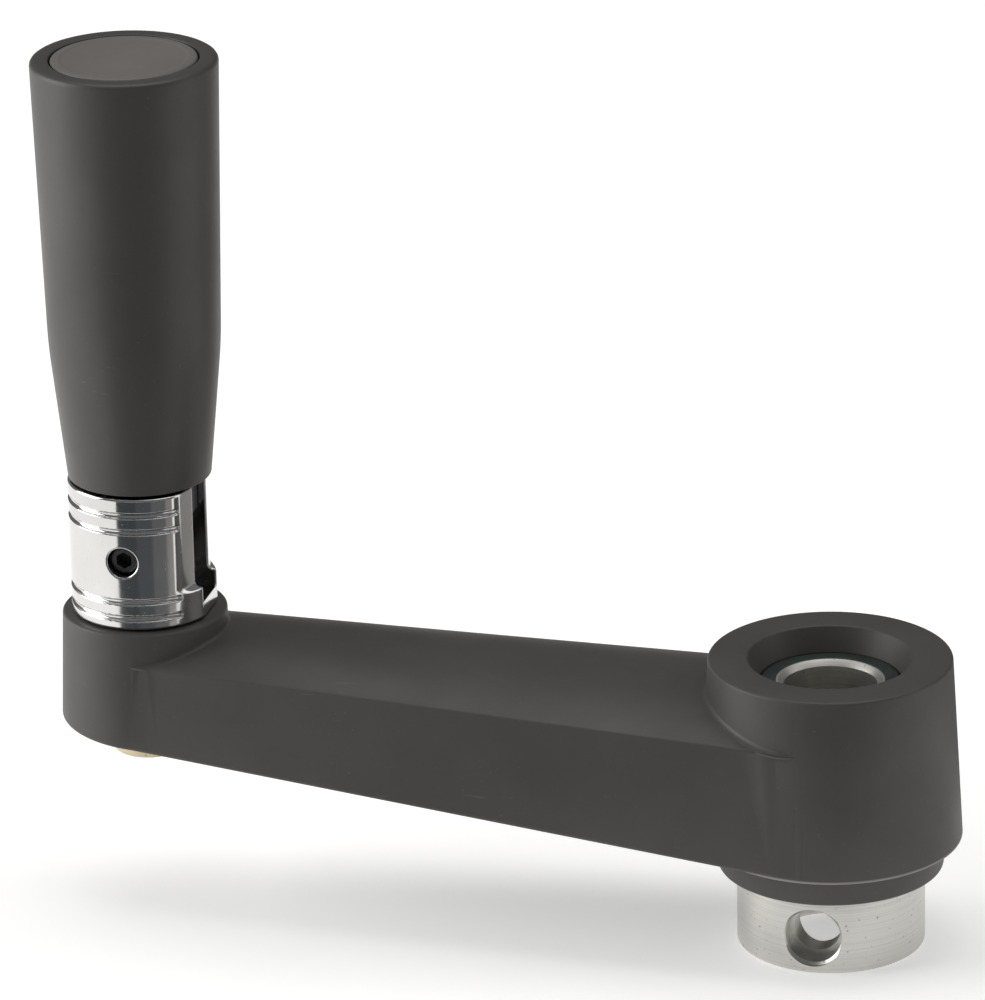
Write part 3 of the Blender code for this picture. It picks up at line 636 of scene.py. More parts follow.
# %% Turn the cap let into the grip's top
CAP_RIM = 0.45
cap_corners = [(0.0, CAP_FLOOR), (CAP_R - 0.5, CAP_FLOOR, 0.2), (CAP_R, CAP_FLOOR + 0.6, 0.2),
               (CAP_R, GRIP_TOP - 0.05, CAP_RIM), (CAP_R - 1.4, GRIP_TOP - 0.02, 0.5),
               (CAP_R - 2.0, GRIP_TOP - 0.12, 0.8), (0.0, GRIP_TOP - 0.10)]
settle(turned("cap", cap_corners, cap_plastic, HANDLE_X, 128), "end_cap")

# %% [markdown]
# ## The small turned pieces inside
# Bushes, washers and pins are shown when a grip is taken apart or looked at from below. Each
# is a short outline with eased edges, and the list below reads like a cutting list.

# %% Turn the small pieces


def band(node, inner, ease):
    """A plain ring between an inner radius and the node's own outside, height and place."""
    low, high = span(node, 2)
    outer = half_size(node, 0)
    return [(inner, low, ease), (outer, low, ease), (outer, high, ease), (inner, high, ease)]


def solid_rod(node, ease):
    low, high = span(node, 2)
    outer = half_size(node, 0)
    return [(0.0, low), (outer, low, ease), (outer, high, ease), (0.0, high)]


rings = [
    ("lower grip bush", "grip_lower_bush", CLEAR_R, 0.35, bronze, "bronze"),
    ("upper grip bush", "grip_upper_bush", CLEAR_R, 0.35, bronze, "bronze"),
    ("thrust ring", "thrust_washer", CLEAR_R, 0.12, polymer, "thrust_polymer"),
    ("head ring", "head_washer", CLEAR_R, 0.15, zinc, "zinc_plate"),
    ("nut ring", "nut_washer", CLEAR_R, 0.3, zinc, "zinc_plate"),
    ("stud sleeve", "compression_sleeve", CLEAR_R, 0.35, spindle_steel, "turned_steel")]
for title, node, inner, ease, finish, slot in rings:
    piece = turned(title.replace(" ", "_"), band(node, inner, ease), finish, HANDLE_X, 64)
    settle(piece, node)

# %% Turn the plunger and the dowel
low, high = span("detent_plunger", 2)
plunger_r = half_size("detent_plunger", 0)
plunger = turned("plunger", [(0.0, low), (plunger_r, low, 0.3), (plunger_r, high - 1.2, 0.3),
                             (plunger_r * 0.55, high, 1.4), (0.0, high)],
                 spindle_steel, HANDLE_X, 48)
settle(plunger, "detent_plunger")
dowel_x = sum(span("locating_dowel", 0)) / 2.0
dowel_y = sum(span("locating_dowel", 1)) / 2.0
dowel = turned("dowel", solid_rod("locating_dowel", 0.3), spindle_steel, dowel_x, 32)
dowel.data.transform(Matrix.Translation((0.0, dowel_y * MM, 0.0)))
settle(dowel, "locating_dowel")

# %% [markdown]
# ## Threads and springs
# A thread and a coil both follow a helix, so a Geometry Nodes tree with a few named sizes
# makes each. The threaded rod is a grid wrapped round its axis, whose radius rises and falls
# with height plus angle. The ridge fades out at both ends, as a cut thread does. The spring
# is a round wire swept along a spiral, with its two end turns closed up.

# %% Build the threaded rod tree


def thread_tree():
    tree, given = new_shape_tree("threaded rod", [
        ("Seed", "Geometry"), ("Radius", "Float"), ("Pitch", "Float"), ("Depth", "Float"),
        ("Low", "Float"), ("High", "Float"), ("Rows", "Int"), ("Columns", "Int"),
        ("Centre", "Vector"), ("Finish", "Material")])
    grid = tree.node("GeometryNodeMeshGrid", {}, {
        "Size X": 1.0, "Size Y": 1.0, "Vertices X": given["Columns"] + 1.0,
        "Vertices Y": given["Rows"] + 2.0})
    along, row, _ = tree.parts(tree.node("GeometryNodeInputPosition"))
    angle = (along + 0.5) * (2.0 * math.pi)
    # The first and the last row lie on the axis and close the ends.
    share = (row + 0.5) * (given["Rows"] + 1.0) - 0.5
    share_up = (share / given["Rows"]).between(0.0, 1.0)
    height = given["Low"] + (given["High"] - given["Low"]) * share_up
    phase = (height - given["Low"]) / given["Pitch"] - angle / (2.0 * math.pi)
    saw = phase.math("FRACT", phase)
    ridge = ((saw - 0.5).math("ABSOLUTE", saw - 0.5) * 2.0).between(0.12, 0.88)
    from_low = (height - given["Low"]) / given["Pitch"]
    from_high = (given["High"] - height) / given["Pitch"]
    fade = (from_low.least(from_high)).between(0.2, 1.0)
    radius = given["Radius"] - given["Depth"] * (1.0 - ridge * fade)
    ends = (share + 0.25).between(0.0, 0.01) * (given["Rows"] + 0.25 - share).between(0.0, 0.01)
    radius = radius * ends
    wrap_grid(tree, given, grid, radius, angle, height)
    return tree.nodes


THREAD = thread_tree()
print("thread tree:", len(THREAD.nodes), "nodes")

# %% Build the spring tree


def spring_tree():
    tree, given = new_shape_tree("compression spring", [
        ("Seed", "Geometry"), ("Radius", "Float"), ("Wire", "Float"), ("Turns", "Float"),
        ("Height", "Float"), ("Steps", "Int"), ("Sides", "Int"), ("Centre", "Vector"),
        ("Finish", "Material")])
    line = tree.node("GeometryNodeMeshLine", {"mode": "OFFSET"}, {"Count": given["Steps"]})
    number = tree.node("GeometryNodeInputIndex")
    share = number / (given["Steps"] - 1.0)
    angle = share * given["Turns"] * (2.0 * math.pi)
    # Less rise in the first and last turn, so that the ends sit flat.
    swing = (share * (2.0 * math.pi)).math("SINE", share * (2.0 * math.pi))
    rise = (share - swing * 0.11) * given["Height"]
    spot = tree.vector(given["Radius"] * angle.math("COSINE", angle),
                       given["Radius"] * angle.math("SINE", angle), rise)
    moved = tree.node("ShaderNodeVectorMath", {"operation": "ADD"},
                      {0: spot, 1: given["Centre"]})
    helix = tree.node("GeometryNodeSetPosition", {}, {"Geometry": line, "Position": moved})
    path = tree.node("GeometryNodeMeshToCurve", {}, {"Mesh": helix})
    section = tree.node("GeometryNodeCurvePrimitiveCircle", {"mode": "RADIUS"},
                        {"Resolution": given["Sides"], "Radius": given["Wire"]})
    swept = tree.node("GeometryNodeCurveToMesh", {}, {
        "Curve": path, "Profile Curve": section, "Fill Caps": True})
    end_shape_tree(tree, swept, given["Finish"])
    return tree.nodes


SPRING = spring_tree()
print("spring tree:", len(SPRING.nodes), "nodes")

# %% [markdown]
# ## Cutting
# Hexagon sockets and cross holes are cut with an exact Boolean, as a real cutter would, and
# the tool is thrown away. The corner of a hexagon socket keeps its edge.

# %% Cut and join


def carve(piece, tool, operation="DIFFERENCE"):
    """Cuts the piece with the tool or joins it to it, and throws the tool away."""
    step = piece.modifiers.new("cut", "BOOLEAN")
    step.operation = operation
    step.solver = "EXACT"
    step.object = tool
    bpy.context.view_layer.update()
    graph = bpy.context.evaluated_depsgraph_get()
    mesh = bpy.data.meshes.new_from_object(piece.evaluated_get(graph))
    piece.modifiers.remove(step)
    finish = piece.data.materials[0] if piece.data.materials else None
    piece.data = mesh
    dress(mesh, finish)
    bpy.data.objects.remove(tool)
    closed_up(mesh)
    smooth(mesh)
    return piece


def prism(name, outline, low, high, axis="Z", centre=(0.0, 0.0)):
    """An outline pushed from low to high along Z, or along Y with the outline in X and Z."""
    bm = bmesh.new()
    u, v = centre
    if axis == "Z":
        loop = [bm.verts.new(((u + a) * MM, (v + b) * MM, low * MM)) for a, b in outline]
        push = Vector((0.0, 0.0, (high - low) * MM))
    else:
        loop = [bm.verts.new(((u + a) * MM, low * MM, (v + b) * MM)) for a, b in outline]
        push = Vector((0.0, (high - low) * MM, 0.0))
    pushed = bmesh.ops.extrude_face_region(bm, geom=[bm.faces.new(loop)])
    top = [item for item in pushed["geom"] if isinstance(item, bmesh.types.BMVert)]
    bmesh.ops.translate(bm, vec=push, verts=top)
    bmesh.ops.recalc_face_normals(bm, faces=bm.faces)
    mesh = bpy.data.meshes.new(name)
    bm.to_mesh(mesh)
    bm.free()
    return link(name, mesh)


def hexagon(across_flats, turn=0.0):
    corner = across_flats / math.sqrt(3.0)
    return [(corner * math.cos(math.radians(turn + 60.0 * i)),
             corner * math.sin(math.radians(turn + 60.0 * i))) for i in range(6)]


def along_y(piece, x, z):
    """Lays a piece that was turned about the origin's Z down along Y, at that x and z."""
    lay = Matrix.Rotation(math.radians(90.0), 4, "X")
    piece.data.transform(Matrix.Translation((x * MM, 0.0, z * MM)) @ lay)
    return piece


print("cutters are ready")

# %% [markdown]
# ## The stud and its nut
# The fork is screwed onto a hollow stud that passes through the arm. From below, a round
# sleeve nut with a hexagon socket pulls it tight against a washer. Its yellow plated end
# stands out a little under the arm, as a small brassy disc.

# %% Make the stud
STUD_R = half_size("fork_stud", 0)
stud_low, stud_high = span("fork_stud", 2)
THREAD_TOP = 41.0
PITCH = 1.25
SPRING_HOLE_R, SPRING_SEAT = 2.7, 42.0
KEY_ACROSS, KEY_DEPTH = 5.0, 3.0
stud_corners = [(0.0, THREAD_TOP - 0.4), (STUD_R - 0.75, THREAD_TOP - 0.4),
                (STUD_R, THREAD_TOP + 0.6, 0.2), (STUD_R, stud_high, 0.4),
                (SPRING_HOLE_R, stud_high, 0.2), (SPRING_HOLE_R, SPRING_SEAT, 0.3),
                (0.0, SPRING_SEAT)]
stud = turned("stud", stud_corners, yellow_zinc, HANDLE_X, 64)
thread = grown("stud_thread", bpy.data.meshes.new("seed"), THREAD, {
    "Radius": STUD_R * MM, "Pitch": PITCH * MM, "Depth": 0.0006, "Low": stud_low * MM,
    "High": THREAD_TOP * MM, "Rows": 140, "Columns": 56,
    "Centre": (HANDLE_X * MM, 0.0, 0.0), "Finish": yellow_zinc})
carve(stud, thread, "UNION")
settle(stud, "fork_stud")

# %% Make the sleeve nut
nut_low, nut_high = span("sleeve_nut", 2)
NUT_R = half_size("sleeve_nut", 0)
NUT_FLOOR = 29.0
nut = turned("round_nut", [
    (0.0, nut_low), (NUT_R, nut_low, 0.6), (NUT_R, nut_high, 0.5),
    (STUD_R + 0.8, nut_high), (STUD_R + 0.25, nut_high - 0.6), (STUD_R + 0.25, NUT_FLOOR),
    (0.0, NUT_FLOOR)], yellow_zinc, HANDLE_X, 96)
carve(nut, prism("key", hexagon(KEY_ACROSS), nut_low - 1.0, nut_low + KEY_DEPTH,
                 centre=(HANDLE_X, 0.0)))
settle(nut, "sleeve_nut")

# %% Make the detent spring
spring_low, spring_high = span("detent_spring", 2)
WIRE_R = 0.32
spring = grown("coil_spring", bpy.data.meshes.new("seed"), SPRING, {
    "Radius": 0.002, "Wire": WIRE_R * MM, "Turns": 7.0,
    "Height": (spring_high - spring_low - 2.0 * WIRE_R) * MM, "Steps": 260, "Sides": 14,
    "Centre": (HANDLE_X * MM, 0.0, (spring_low + WIRE_R) * MM), "Finish": spring_steel})
settle(spring, "detent_spring")

# %% [markdown]
# ## Spindle and pins
# The grip turns on a long spindle with a socket head, which is locked in the tongue by a
# cross pin. The pivot pin goes through the fork's two ears and has a small hexagon socket at
# the end that faces the front.

# %% Make the spindle
spindle_low, spindle_high = span("handle_spindle", 2)
HEAD_R = half_size("handle_spindle", 0)
STEP_Z, HEAD_Z = 81.3, 139.2
spindle = turned("spindle", [
    (0.0, spindle_low), (2.4, spindle_low, 0.4), (2.4, STEP_Z, 0.1), (4.0, STEP_Z, 0.2),
    (4.0, HEAD_Z, 0.3), (HEAD_R, HEAD_Z, 0.3), (HEAD_R, spindle_high, 0.6),
    (0.0, spindle_high)], spindle_steel, HANDLE_X, 72)
carve(spindle, prism("key", hexagon(KEY_ACROSS), spindle_high - KEY_DEPTH, spindle_high + 1.0,
                     centre=(HANDLE_X, 0.0)))
carve(spindle, along_y(turned("drill", [(0.0, -9.0), (1.05, -9.0), (1.05, 9.0), (0.0, 9.0)],
                              spindle_steel, 0.0, 24), HANDLE_X, LOCK_PIN_Z))
settle(spindle, "handle_spindle")

# %% Make the pins and the eye's bush
PIN_HALF = 11.0
EYE_HALF = 3.6
PIN_R = half_size("pivot_pin", 0)
pin = along_y(turned("pin", [(0.0, -PIN_HALF), (PIN_R, -PIN_HALF, 0.45),
                             (PIN_R, PIN_HALF, 0.45), (0.0, PIN_HALF)],
                     spindle_steel, 0.0, 64), HANDLE_X, PIVOT_Z)
carve(pin, prism("key", hexagon(2.6, 90.0), -PIN_HALF - 1.0, -PIN_HALF + 2.5, "Y",
                 (HANDLE_X, PIVOT_Z)))
pin.data.materials[0] = coated_steel
settle(pin, "pivot_pin")
eye = along_y(turned("eye_bush", [
    (2.6, -EYE_HALF, 0.25), (EYE_BUSH_R, -EYE_HALF, 0.25), (EYE_BUSH_R, EYE_HALF, 0.25),
    (2.6, EYE_HALF, 0.25)], bronze, 0.0, 48), HANDLE_X, PIVOT_Z)
settle(eye, "pivot_bush")
lock = along_y(turned("lock_pin", [(0.0, -3.4), (0.8, -3.4, 0.25), (0.8, 3.4, 0.25),
                                   (0.0, 3.4)], zinc, 0.0, 24), HANDLE_X, LOCK_PIN_Z)
settle(lock, "spindle_lock_pin")

# %% [markdown]
# ## The hub bush
# The bright steel bush is turned all over and bored for a sixteen millimetre shaft. Below the
# plastic it stands out as a plain boss with a cross hole for a fastening screw, opened up at
# the front and lightly countersunk where it breaks the round surface.

# %% Turn and drill the bush
BORE_R = 8.0
SHOULDER = 13.5
BODY_R = 14.0
NECK_R = 11.8
STEP_TOP = 45.4
bush_corners = [
    (BORE_R + 0.8, 0.0, 0.1), (BUSH_R, 0.0, 0.35), (BUSH_R, SHOULDER, 0.3),
    (BODY_R, SHOULDER, 0.2), (BODY_R, 20.3, 0.2), (BODY_R - 1.0, 21.3, 0.2),
    (BODY_R - 1.0, 24.1, 0.2), (BODY_R, 25.1, 0.2), (BODY_R, STEP_TOP, 0.3),
    (NECK_R, STEP_TOP, 0.2), (NECK_R, BUSH_TOP, 0.25), (BORE_R + 0.9, BUSH_TOP, 0.1),
    (BORE_R, BUSH_TOP - 0.9, 0.1), (BORE_R, 0.8, 0.1)]
bush = turned("bush", bush_corners, bush_steel, 0.0, 160)
CROSS_Z = 6.4
HOLE_R, MOUTH_R, MOUTH_DEPTH = 4.0, 4.75, 4.5
RIM = 0.45
drill = turned("drill", [
    (0.0, -BUSH_R - 2.0), (HOLE_R, -BUSH_R - 2.0), (HOLE_R, BUSH_R - MOUTH_DEPTH),
    (MOUTH_R, BUSH_R - MOUTH_DEPTH), (MOUTH_R, BUSH_R - 0.95),
    (MOUTH_R + RIM, BUSH_R - 0.55), (MOUTH_R + RIM, BUSH_R + 2.0), (0.0, BUSH_R + 2.0)],
    bush_steel, 0.0, 96)
carve(bush, along_y(drill, 0.0, CROSS_Z))
settle(bush, "hub_bush")

# %% [markdown]
# ## Cast shapes from a distance rule
# The fork is a die casting: every edge is soft, the slot, the grooves and the pin hole melt
# into the round body, and chrome shows each of those roundings as a bright line. Booleans
# leave knife edges there. So the fork is described by a rule that tells, for any point, how
# far it lies from the surface. Rules join and cut with a chosen rounding. A surface is then
# stretched over the rule's zero and each point is moved exactly onto it.

# %% Rules that join and cut with rounding


def cut_round(first, second, rounding):
    """Inside both rules, with a convex rounding where they meet."""
    a = np.maximum(first + rounding, 0.0)
    b = np.maximum(second + rounding, 0.0)
    return np.minimum(-rounding, np.maximum(first, second)) + np.sqrt(a * a + b * b)


def stretch(rule, low, high, step):
    """Points and four-cornered faces over the rule's zero, by the surface nets method."""
    axes = [np.arange(a - 2 * step, b + 2.5 * step, step) for a, b in zip(low, high)]
    field = rule(*np.meshgrid(*axes, indexing="ij"))
    inside = field < 0.0
    cells = tuple(n - 1 for n in field.shape)
    total = np.zeros(cells, np.int8)
    corners = [(i, j, k) for i in (0, 1) for j in (0, 1) for k in (0, 1)]

    def corner(array, shift):
        return array[tuple(slice(s, s + n) for s, n in zip(shift, cells))]

    for shift in corners:
        total += corner(inside, shift)
    active = (total > 0) & (total < 8)
    number = np.full(cells, -1)
    number[active] = np.arange(active.sum())
    spots = np.stack(np.nonzero(active), 1).astype(float)
    crossing = np.zeros_like(spots)
    hits = np.zeros(len(spots))
    for start in corners:
        for axis in range(3):
            if start[axis] == 1:
                continue
            end = tuple(s + (axis == n) for n, s in enumerate(start))
            a = corner(field, start)[active]
            b = corner(field, end)[active]
            crossed = (a < 0.0) != (b < 0.0)
            share = np.where(crossed, a / np.where(crossed, a - b, 1.0), 0.0)
            spot = np.tile(np.array(start, float), (len(spots), 1))
            spot[:, axis] += share
            crossing += spot * crossed[:, None]
            hits += crossed
    points = (spots + crossing / hits[:, None]) * step + [axis[0] for axis in axes]
    faces = []
    for axis in range(3):
        side, up = (axis + 1) % 3, (axis + 2) % 3
        here = [slice(None)] * 3
        there = [slice(None)] * 3
        here[axis], there[axis] = slice(0, -1), slice(1, None)
        change = inside[tuple(here)] != inside[tuple(there)]
        where = np.stack(np.nonzero(change), 1)
        where = where[(where[:, side] > 0) & (where[:, up] > 0)]
        where = where[(where[:, side] < cells[side]) & (where[:, up] < cells[up])]
        outward = inside[tuple(where.T)]
        loop = []
        for ds, du in ((-1, -1), (0, -1), (0, 0), (-1, 0)):
            cell = where.copy()
            cell[:, side] += ds
            cell[:, up] += du
            loop.append(number[tuple(cell.T)])
        loop = np.stack(loop, 1)
        faces.append(np.where(outward[:, None], loop, loop[:, ::-1]))
    return points, np.concatenate(faces)


print("cut of two planes, 1 mm inside each:", float(cut_round(np.float64(-1), np.float64(-1), .2)))

# %% Stretch a piece over a rule


def cast(name, rule, low, high, step, finish):
    """A smooth piece over the rule, in millimetres, with its shading taken from the rule."""
    points, faces = stretch(rule, low, high, step)
    reach = 0.01

    def slope(places):
        parts = []
        for axis in range(3):
            shift = np.zeros(3)
            shift[axis] = reach
            ahead, behind = places + shift, places - shift
            parts.append((rule(*ahead.T) - rule(*behind.T)) / (2.0 * reach))
        return np.stack(parts, 1)

    for _ in range(4):
        lean = slope(points)
        size = np.maximum((lean * lean).sum(1), 0.25)
        move = rule(*points.T)[:, None] * lean / size[:, None]
        points = points - np.clip(move, -0.5 * step, 0.5 * step)
    mesh = bpy.data.meshes.new(name)
    mesh.from_pydata((points * MM).tolist(), [], faces.tolist())
    mesh.materials.append(finish)
    mesh.shade_smooth()
    lean = slope(points)
    lean /= np.maximum(np.linalg.norm(lean, axis=1), 1e-9)[:, None]
    mesh.normals_split_custom_set_from_vertices(lean.tolist())
    return link(name, mesh)


print("rules can be cast now")

# %% [markdown]
# ## The fork
# Measured from the handle's axis, u runs towards the hub and v across the slot. The body is
# a cylinder with its front taken back to a flatter curve. Four shallow ring grooves run round
# it and end in a round thumb before the front. The slot is deeper in front, where the tongue's
# block goes when the grip folds.

# %% Write the fork's rule
GROOVES = (72.3, 69.3, 56.6, 53.6)
GROOVE_R = 0.52
GROOVE_END = math.radians(44.5)
FACET_R = 22.0
FACET_EDGE = math.radians(44.0)
FACET_Z = 57.2
SLOT_HALF, SLOT_BACK, SLOT_FLOOR = 4.0, -5.6, 57.8
POCKET_START, POCKET_FLOOR = 4.8, 54.2
RELIEF = 11.7
STUD_HOLE_TOP = 57.1
PLUNGER_HOLE_R = 3.0
facet_u = (FORK_R * math.cos(FACET_EDGE)
           - math.sqrt(FACET_R ** 2 - (FORK_R * math.sin(FACET_EDGE)) ** 2))


def groove_rule(u, v, z, height):
    angle = np.abs(np.arctan2(v, u))
    radius = np.hypot(u, v)
    past_end = np.maximum(GROOVE_END - angle, 0.0)
    away = radius ** 2 + FORK_R ** 2 - 2.0 * radius * FORK_R * np.cos(past_end)
    return np.sqrt(np.maximum(away, 0.0) + (z - height) ** 2) - GROOVE_R


def fork_rule(x, y, z):
    u, v = x - HANDLE_X, y
    radius = np.hypot(u, v)
    body = cut_round(radius - FORK_R, np.maximum(FORK_FOOT - z, z - FORK_TOP), 0.45)
    front = cut_round(FACET_R - np.hypot(u - facet_u, v), FACET_Z - z, 1.0)
    body = cut_round(body, -front, 0.35)
    for height in GROOVES:
        body = cut_round(body, -groove_rule(u, v, z, height), 0.12)
    slot = np.maximum(np.maximum(np.abs(v) - SLOT_HALF, SLOT_BACK - u), SLOT_FLOOR - z)
    pocket = np.maximum(np.maximum(np.abs(v) - SLOT_HALF, POCKET_START - u), POCKET_FLOOR - z)
    body = cut_round(body, -np.minimum(slot, pocket), 0.4)
    hole = np.hypot(u, z - PIVOT_Z) - (PIN_R + 0.2)
    body = cut_round(body, -hole, 0.4)
    stud_hole = np.maximum(radius - CLEAR_R, z - STUD_HOLE_TOP)
    through = np.maximum(radius - PLUNGER_HOLE_R, z - SLOT_FLOOR - 1.0)
    body = np.maximum(body, -np.minimum(stud_hole, through))
    return np.maximum(body, np.minimum(u - RELIEF, SLOT_FLOOR + 1.0 - z))


fork = cast("fork", fork_rule, (HANDLE_X - FORK_R, -FORK_R, FORK_FOOT),
            (HANDLE_X + FORK_R, FORK_R, FORK_TOP), 0.2, chrome)
settle(fork, "fork_body")

# %% [markdown]
# ## The tongue
# The tongue is the black block in the fork's slot: an eye round the pivot pin with a flat
# below and a flat in front, on which the spring plunger clicks, a block in front and a round
# seat above for the grip. It is blacked steel with eased edges.

# %% Write the tongue's rule
EYE_R, FLAT = 5.2, 4.95
HEEL = PIVOT_Z + 5.1
TONGUE_FRONT = 9.0
SEAT_R = half_size("handle_tongue", 1)
SEAT_FOOT = GRIP_FOOT + GRIP_CONE
SEAT_TOP = span("handle_tongue", 2)[1]
TONGUE_HALF = 3.7
EYE_HOLE_R, CROSS_PIN_HOLE_R = 3.55, 0.95
SPINDLE_HOLE_R, SPINDLE_HOLE_FOOT = 2.55, 69.5
SLANT = (4.2, 2.8)


def tongue_rule(x, y, z):
    u, v = x - HANDLE_X, y
    w = z - PIVOT_Z
    ring = np.hypot(u, w) - EYE_R
    ring = cut_round(cut_round(ring, -FLAT - w, 0.3), u - FLAT, 0.3)
    stem = np.maximum(np.maximum(-EYE_R - u, u - FLAT), np.maximum(-w, z - SEAT_FOOT))
    rise, run = SLANT
    slant = (u - TONGUE_FRONT) * rise + (z - (GRIP_FOOT - 0.3)) * run
    slant = slant / math.hypot(rise, run)
    block = np.maximum(np.maximum(-EYE_R - u, u - TONGUE_FRONT), HEEL - z)
    block = cut_round(np.maximum(block, z - SEAT_FOOT), slant, 0.4)
    side = np.minimum(np.minimum(ring, stem), block)
    body = cut_round(side, np.abs(v) - TONGUE_HALF, 0.35)
    seat = cut_round(np.hypot(u, v) - SEAT_R, np.maximum(SEAT_FOOT - 0.1 - z, z - SEAT_TOP), 0.3)
    body = np.minimum(body, seat)
    hole = np.hypot(u, w) - EYE_HOLE_R
    bore = np.maximum(np.hypot(u, v) - SPINDLE_HOLE_R, SPINDLE_HOLE_FOOT - z)
    cross = np.hypot(u, z - LOCK_PIN_Z) - CROSS_PIN_HOLE_R
    return np.maximum(body, -np.minimum(np.minimum(hole, bore), cross))


tongue = cast("tongue", tongue_rule, (HANDLE_X - SEAT_R, -SEAT_R, PIVOT_Z - EYE_R),
              (HANDLE_X + TONGUE_FRONT, SEAT_R, SEAT_TOP), 0.16, coated_steel)
settle(tongue, "handle_tongue")

# %% [markdown]
# ## The arm
# The arm is one moulding: a hub, a boss at the far end and a beam between them, tapered in
# plan, drafted at the sides and softly crowned on top. The hub and the boss are turned
# shapes. The beam is a loft, so the Geometry Nodes lathe doesn't fit it, and its sections are
# computed at forty places instead. Beam and turned shapes are joined exactly, and a small
# fillet is laid where the crown meets the hub's and the boss's walls.

# %% Compute the beam's sections
CRANK_RADIUS = -HANDLE_X
HUB_TOP_R, HUB_FOOT_R = 20.65, 22.35
BOSS_TOP_R, BOSS_FOOT_R = 14.15, 14.95
UNDERSIDE, UNDERSIDE_AT_HUB = 30.3, 21.1
CROWN_AT_BOSS, CROWN_AT_HUB = 48.5, 44.25
DROP_AT_BOSS, DROP_AT_HUB = 2.95, 3.05
CROWN_INSET = 0.45
CROWN_POWER = 2.7


def half_width(x, end_radius, hub_radius):
    """Half width of a belt round the boss and the hub, at a place along the arm."""
    lean = (hub_radius - end_radius) / CRANK_RADIUS
    return (end_radius + lean * (x + CRANK_RADIUS)) / math.sqrt(1.0 - lean * lean)


def underside(x):
    slope = (UNDERSIDE - UNDERSIDE_AT_HUB) / (CRANK_RADIUS - HUB_FOOT_R)
    return max(UNDERSIDE - slope * (x + CRANK_RADIUS), HUB_FOOT + 0.1)


def crown(x, y):
    """Height of the arm's crowned top, and the half width of that crown."""
    share = (x + CRANK_RADIUS) / CRANK_RADIUS
    top = CROWN_AT_BOSS + (CROWN_AT_HUB - CROWN_AT_BOSS) * share
    drop = DROP_AT_BOSS + (DROP_AT_HUB - DROP_AT_BOSS) * share
    low = half_width(x, BOSS_FOOT_R, HUB_FOOT_R)
    high = half_width(x, BOSS_TOP_R, HUB_TOP_R)
    floor = underside(x)
    side = low + (high - low) * (top - drop - floor) / (HUB_TOP - floor) - CROWN_INSET
    return top - drop * min(abs(y) / side, 1.0) ** CROWN_POWER, side


def beam_section(x):
    floor = underside(x)
    low = half_width(x, BOSS_FOOT_R, HUB_FOOT_R)
    edge_z, side = crown(x, 1e3)
    half = [(low, floor, 0.7), (side, edge_z, 0.5)]
    steps = 18
    for i in range(1, steps + 1):
        y = (side - 1.2) * (1.0 - i / steps)
        half.append((y, crown(x, y)[0]))
    left = [(-c[0], *c[1:]) for c in reversed(half[:-1])]
    return eased(half + left, closed=True, steps=5)


print("beam half width at the boss and the hub:",
      round(crown(-CRANK_RADIUS, 0)[1], 2), round(crown(0, 0)[1], 2))

# %% Loft the beam
PLACES = np.concatenate([[-CRANK_RADIUS + 0.5], np.linspace(-CRANK_RADIUS + 6, -24.0, 34),
                         [-HUB_FOOT_R, -18.0, -12.0, -6.0, -0.5]])
BOSS_PLUG, HUB_PLUG = 11.4, 17.2


def loft(name, loops):
    """Skins a row of closed loops of equal length and closes both ends."""
    bm = bmesh.new()
    rows = [[bm.verts.new([c * MM for c in p]) for p in loop] for loop in loops]
    for first, second in zip(rows, rows[1:]):
        for i in range(len(first)):
            j = (i + 1) % len(first)
            bm.faces.new((first[i], first[j], second[j], second[i]))
    bm.faces.new(rows[0])
    bm.faces.new(rows[-1][::-1])
    bmesh.ops.recalc_face_normals(bm, faces=bm.faces)
    mesh = bpy.data.meshes.new(name)
    bm.to_mesh(mesh)
    bm.free()
    return link(name, mesh)


def plug(radius, x):
    return turned("plug", [(0.0, 0.0), (radius, 0.0), (radius, 70.0), (0.0, 70.0)],
                  None, x, 96)


arm = loft("arm", [[(x, y, z) for y, z in beam_section(x)] for x in PLACES])
arm.data.materials.append(arm_plastic)
carve(arm, plug(BOSS_PLUG, HANDLE_X))
carve(arm, plug(HUB_PLUG, 0.0))
print("beam:", len(arm.data.polygons), "faces")

# %% Turn the hub and the boss and join them
POCKET_R = BODY_R + 0.3
COLLAR_FOOT = span("crank_arm", 2)[0]
LIP_R, LIP_Z = 12.15, 45.7
hub_corners = [
    (POCKET_R, COLLAR_FOOT, 0.2), (19.15, COLLAR_FOOT, 0.6), (19.4, HUB_FOOT, 0.4),
    (HUB_FOOT_R, HUB_FOOT, 0.35), (HUB_TOP_R, HUB_TOP, 0.5), (14.0, HUB_TOP, 0.45),
    (LIP_R, BUSH_TOP - 0.05, 0.15), (LIP_R, LIP_Z, 0.1), (POCKET_R, LIP_Z, 0.1),
    (POCKET_R, 25.4, 0.1), (POCKET_R - 1.0, 24.4, 0.1), (POCKET_R - 1.0, 21.0, 0.1),
    (POCKET_R, 20.0, 0.1)]
hub = turned("hub", hub_corners, arm_plastic, 0.0, 192)
SEAT_Z = 39.4
NUT_POCKET_R, SLEEVE_R = 8.6, 6.3
boss_corners = [
    (NUT_POCKET_R, UNDERSIDE, 0.5), (BOSS_FOOT_R, UNDERSIDE, 0.6),
    (BOSS_TOP_R, HUB_TOP, 0.55), (SLEEVE_R, HUB_TOP, 0.1), (SLEEVE_R, SEAT_Z, 0.1),
    (NUT_POCKET_R, SEAT_Z, 0.3)]
boss = turned("boss", boss_corners, arm_plastic, HANDLE_X, 192)
slope = underside(-CRANK_RADIUS + 1.0) - underside(-CRANK_RADIUS)
for vert in boss.data.vertices:
    if vert.co.z < (UNDERSIDE + 3.0) * MM:
        vert.co.z += slope * (vert.co.x - HANDLE_X * MM)
carve(arm, boss, "UNION")
carve(arm, hub, "UNION")
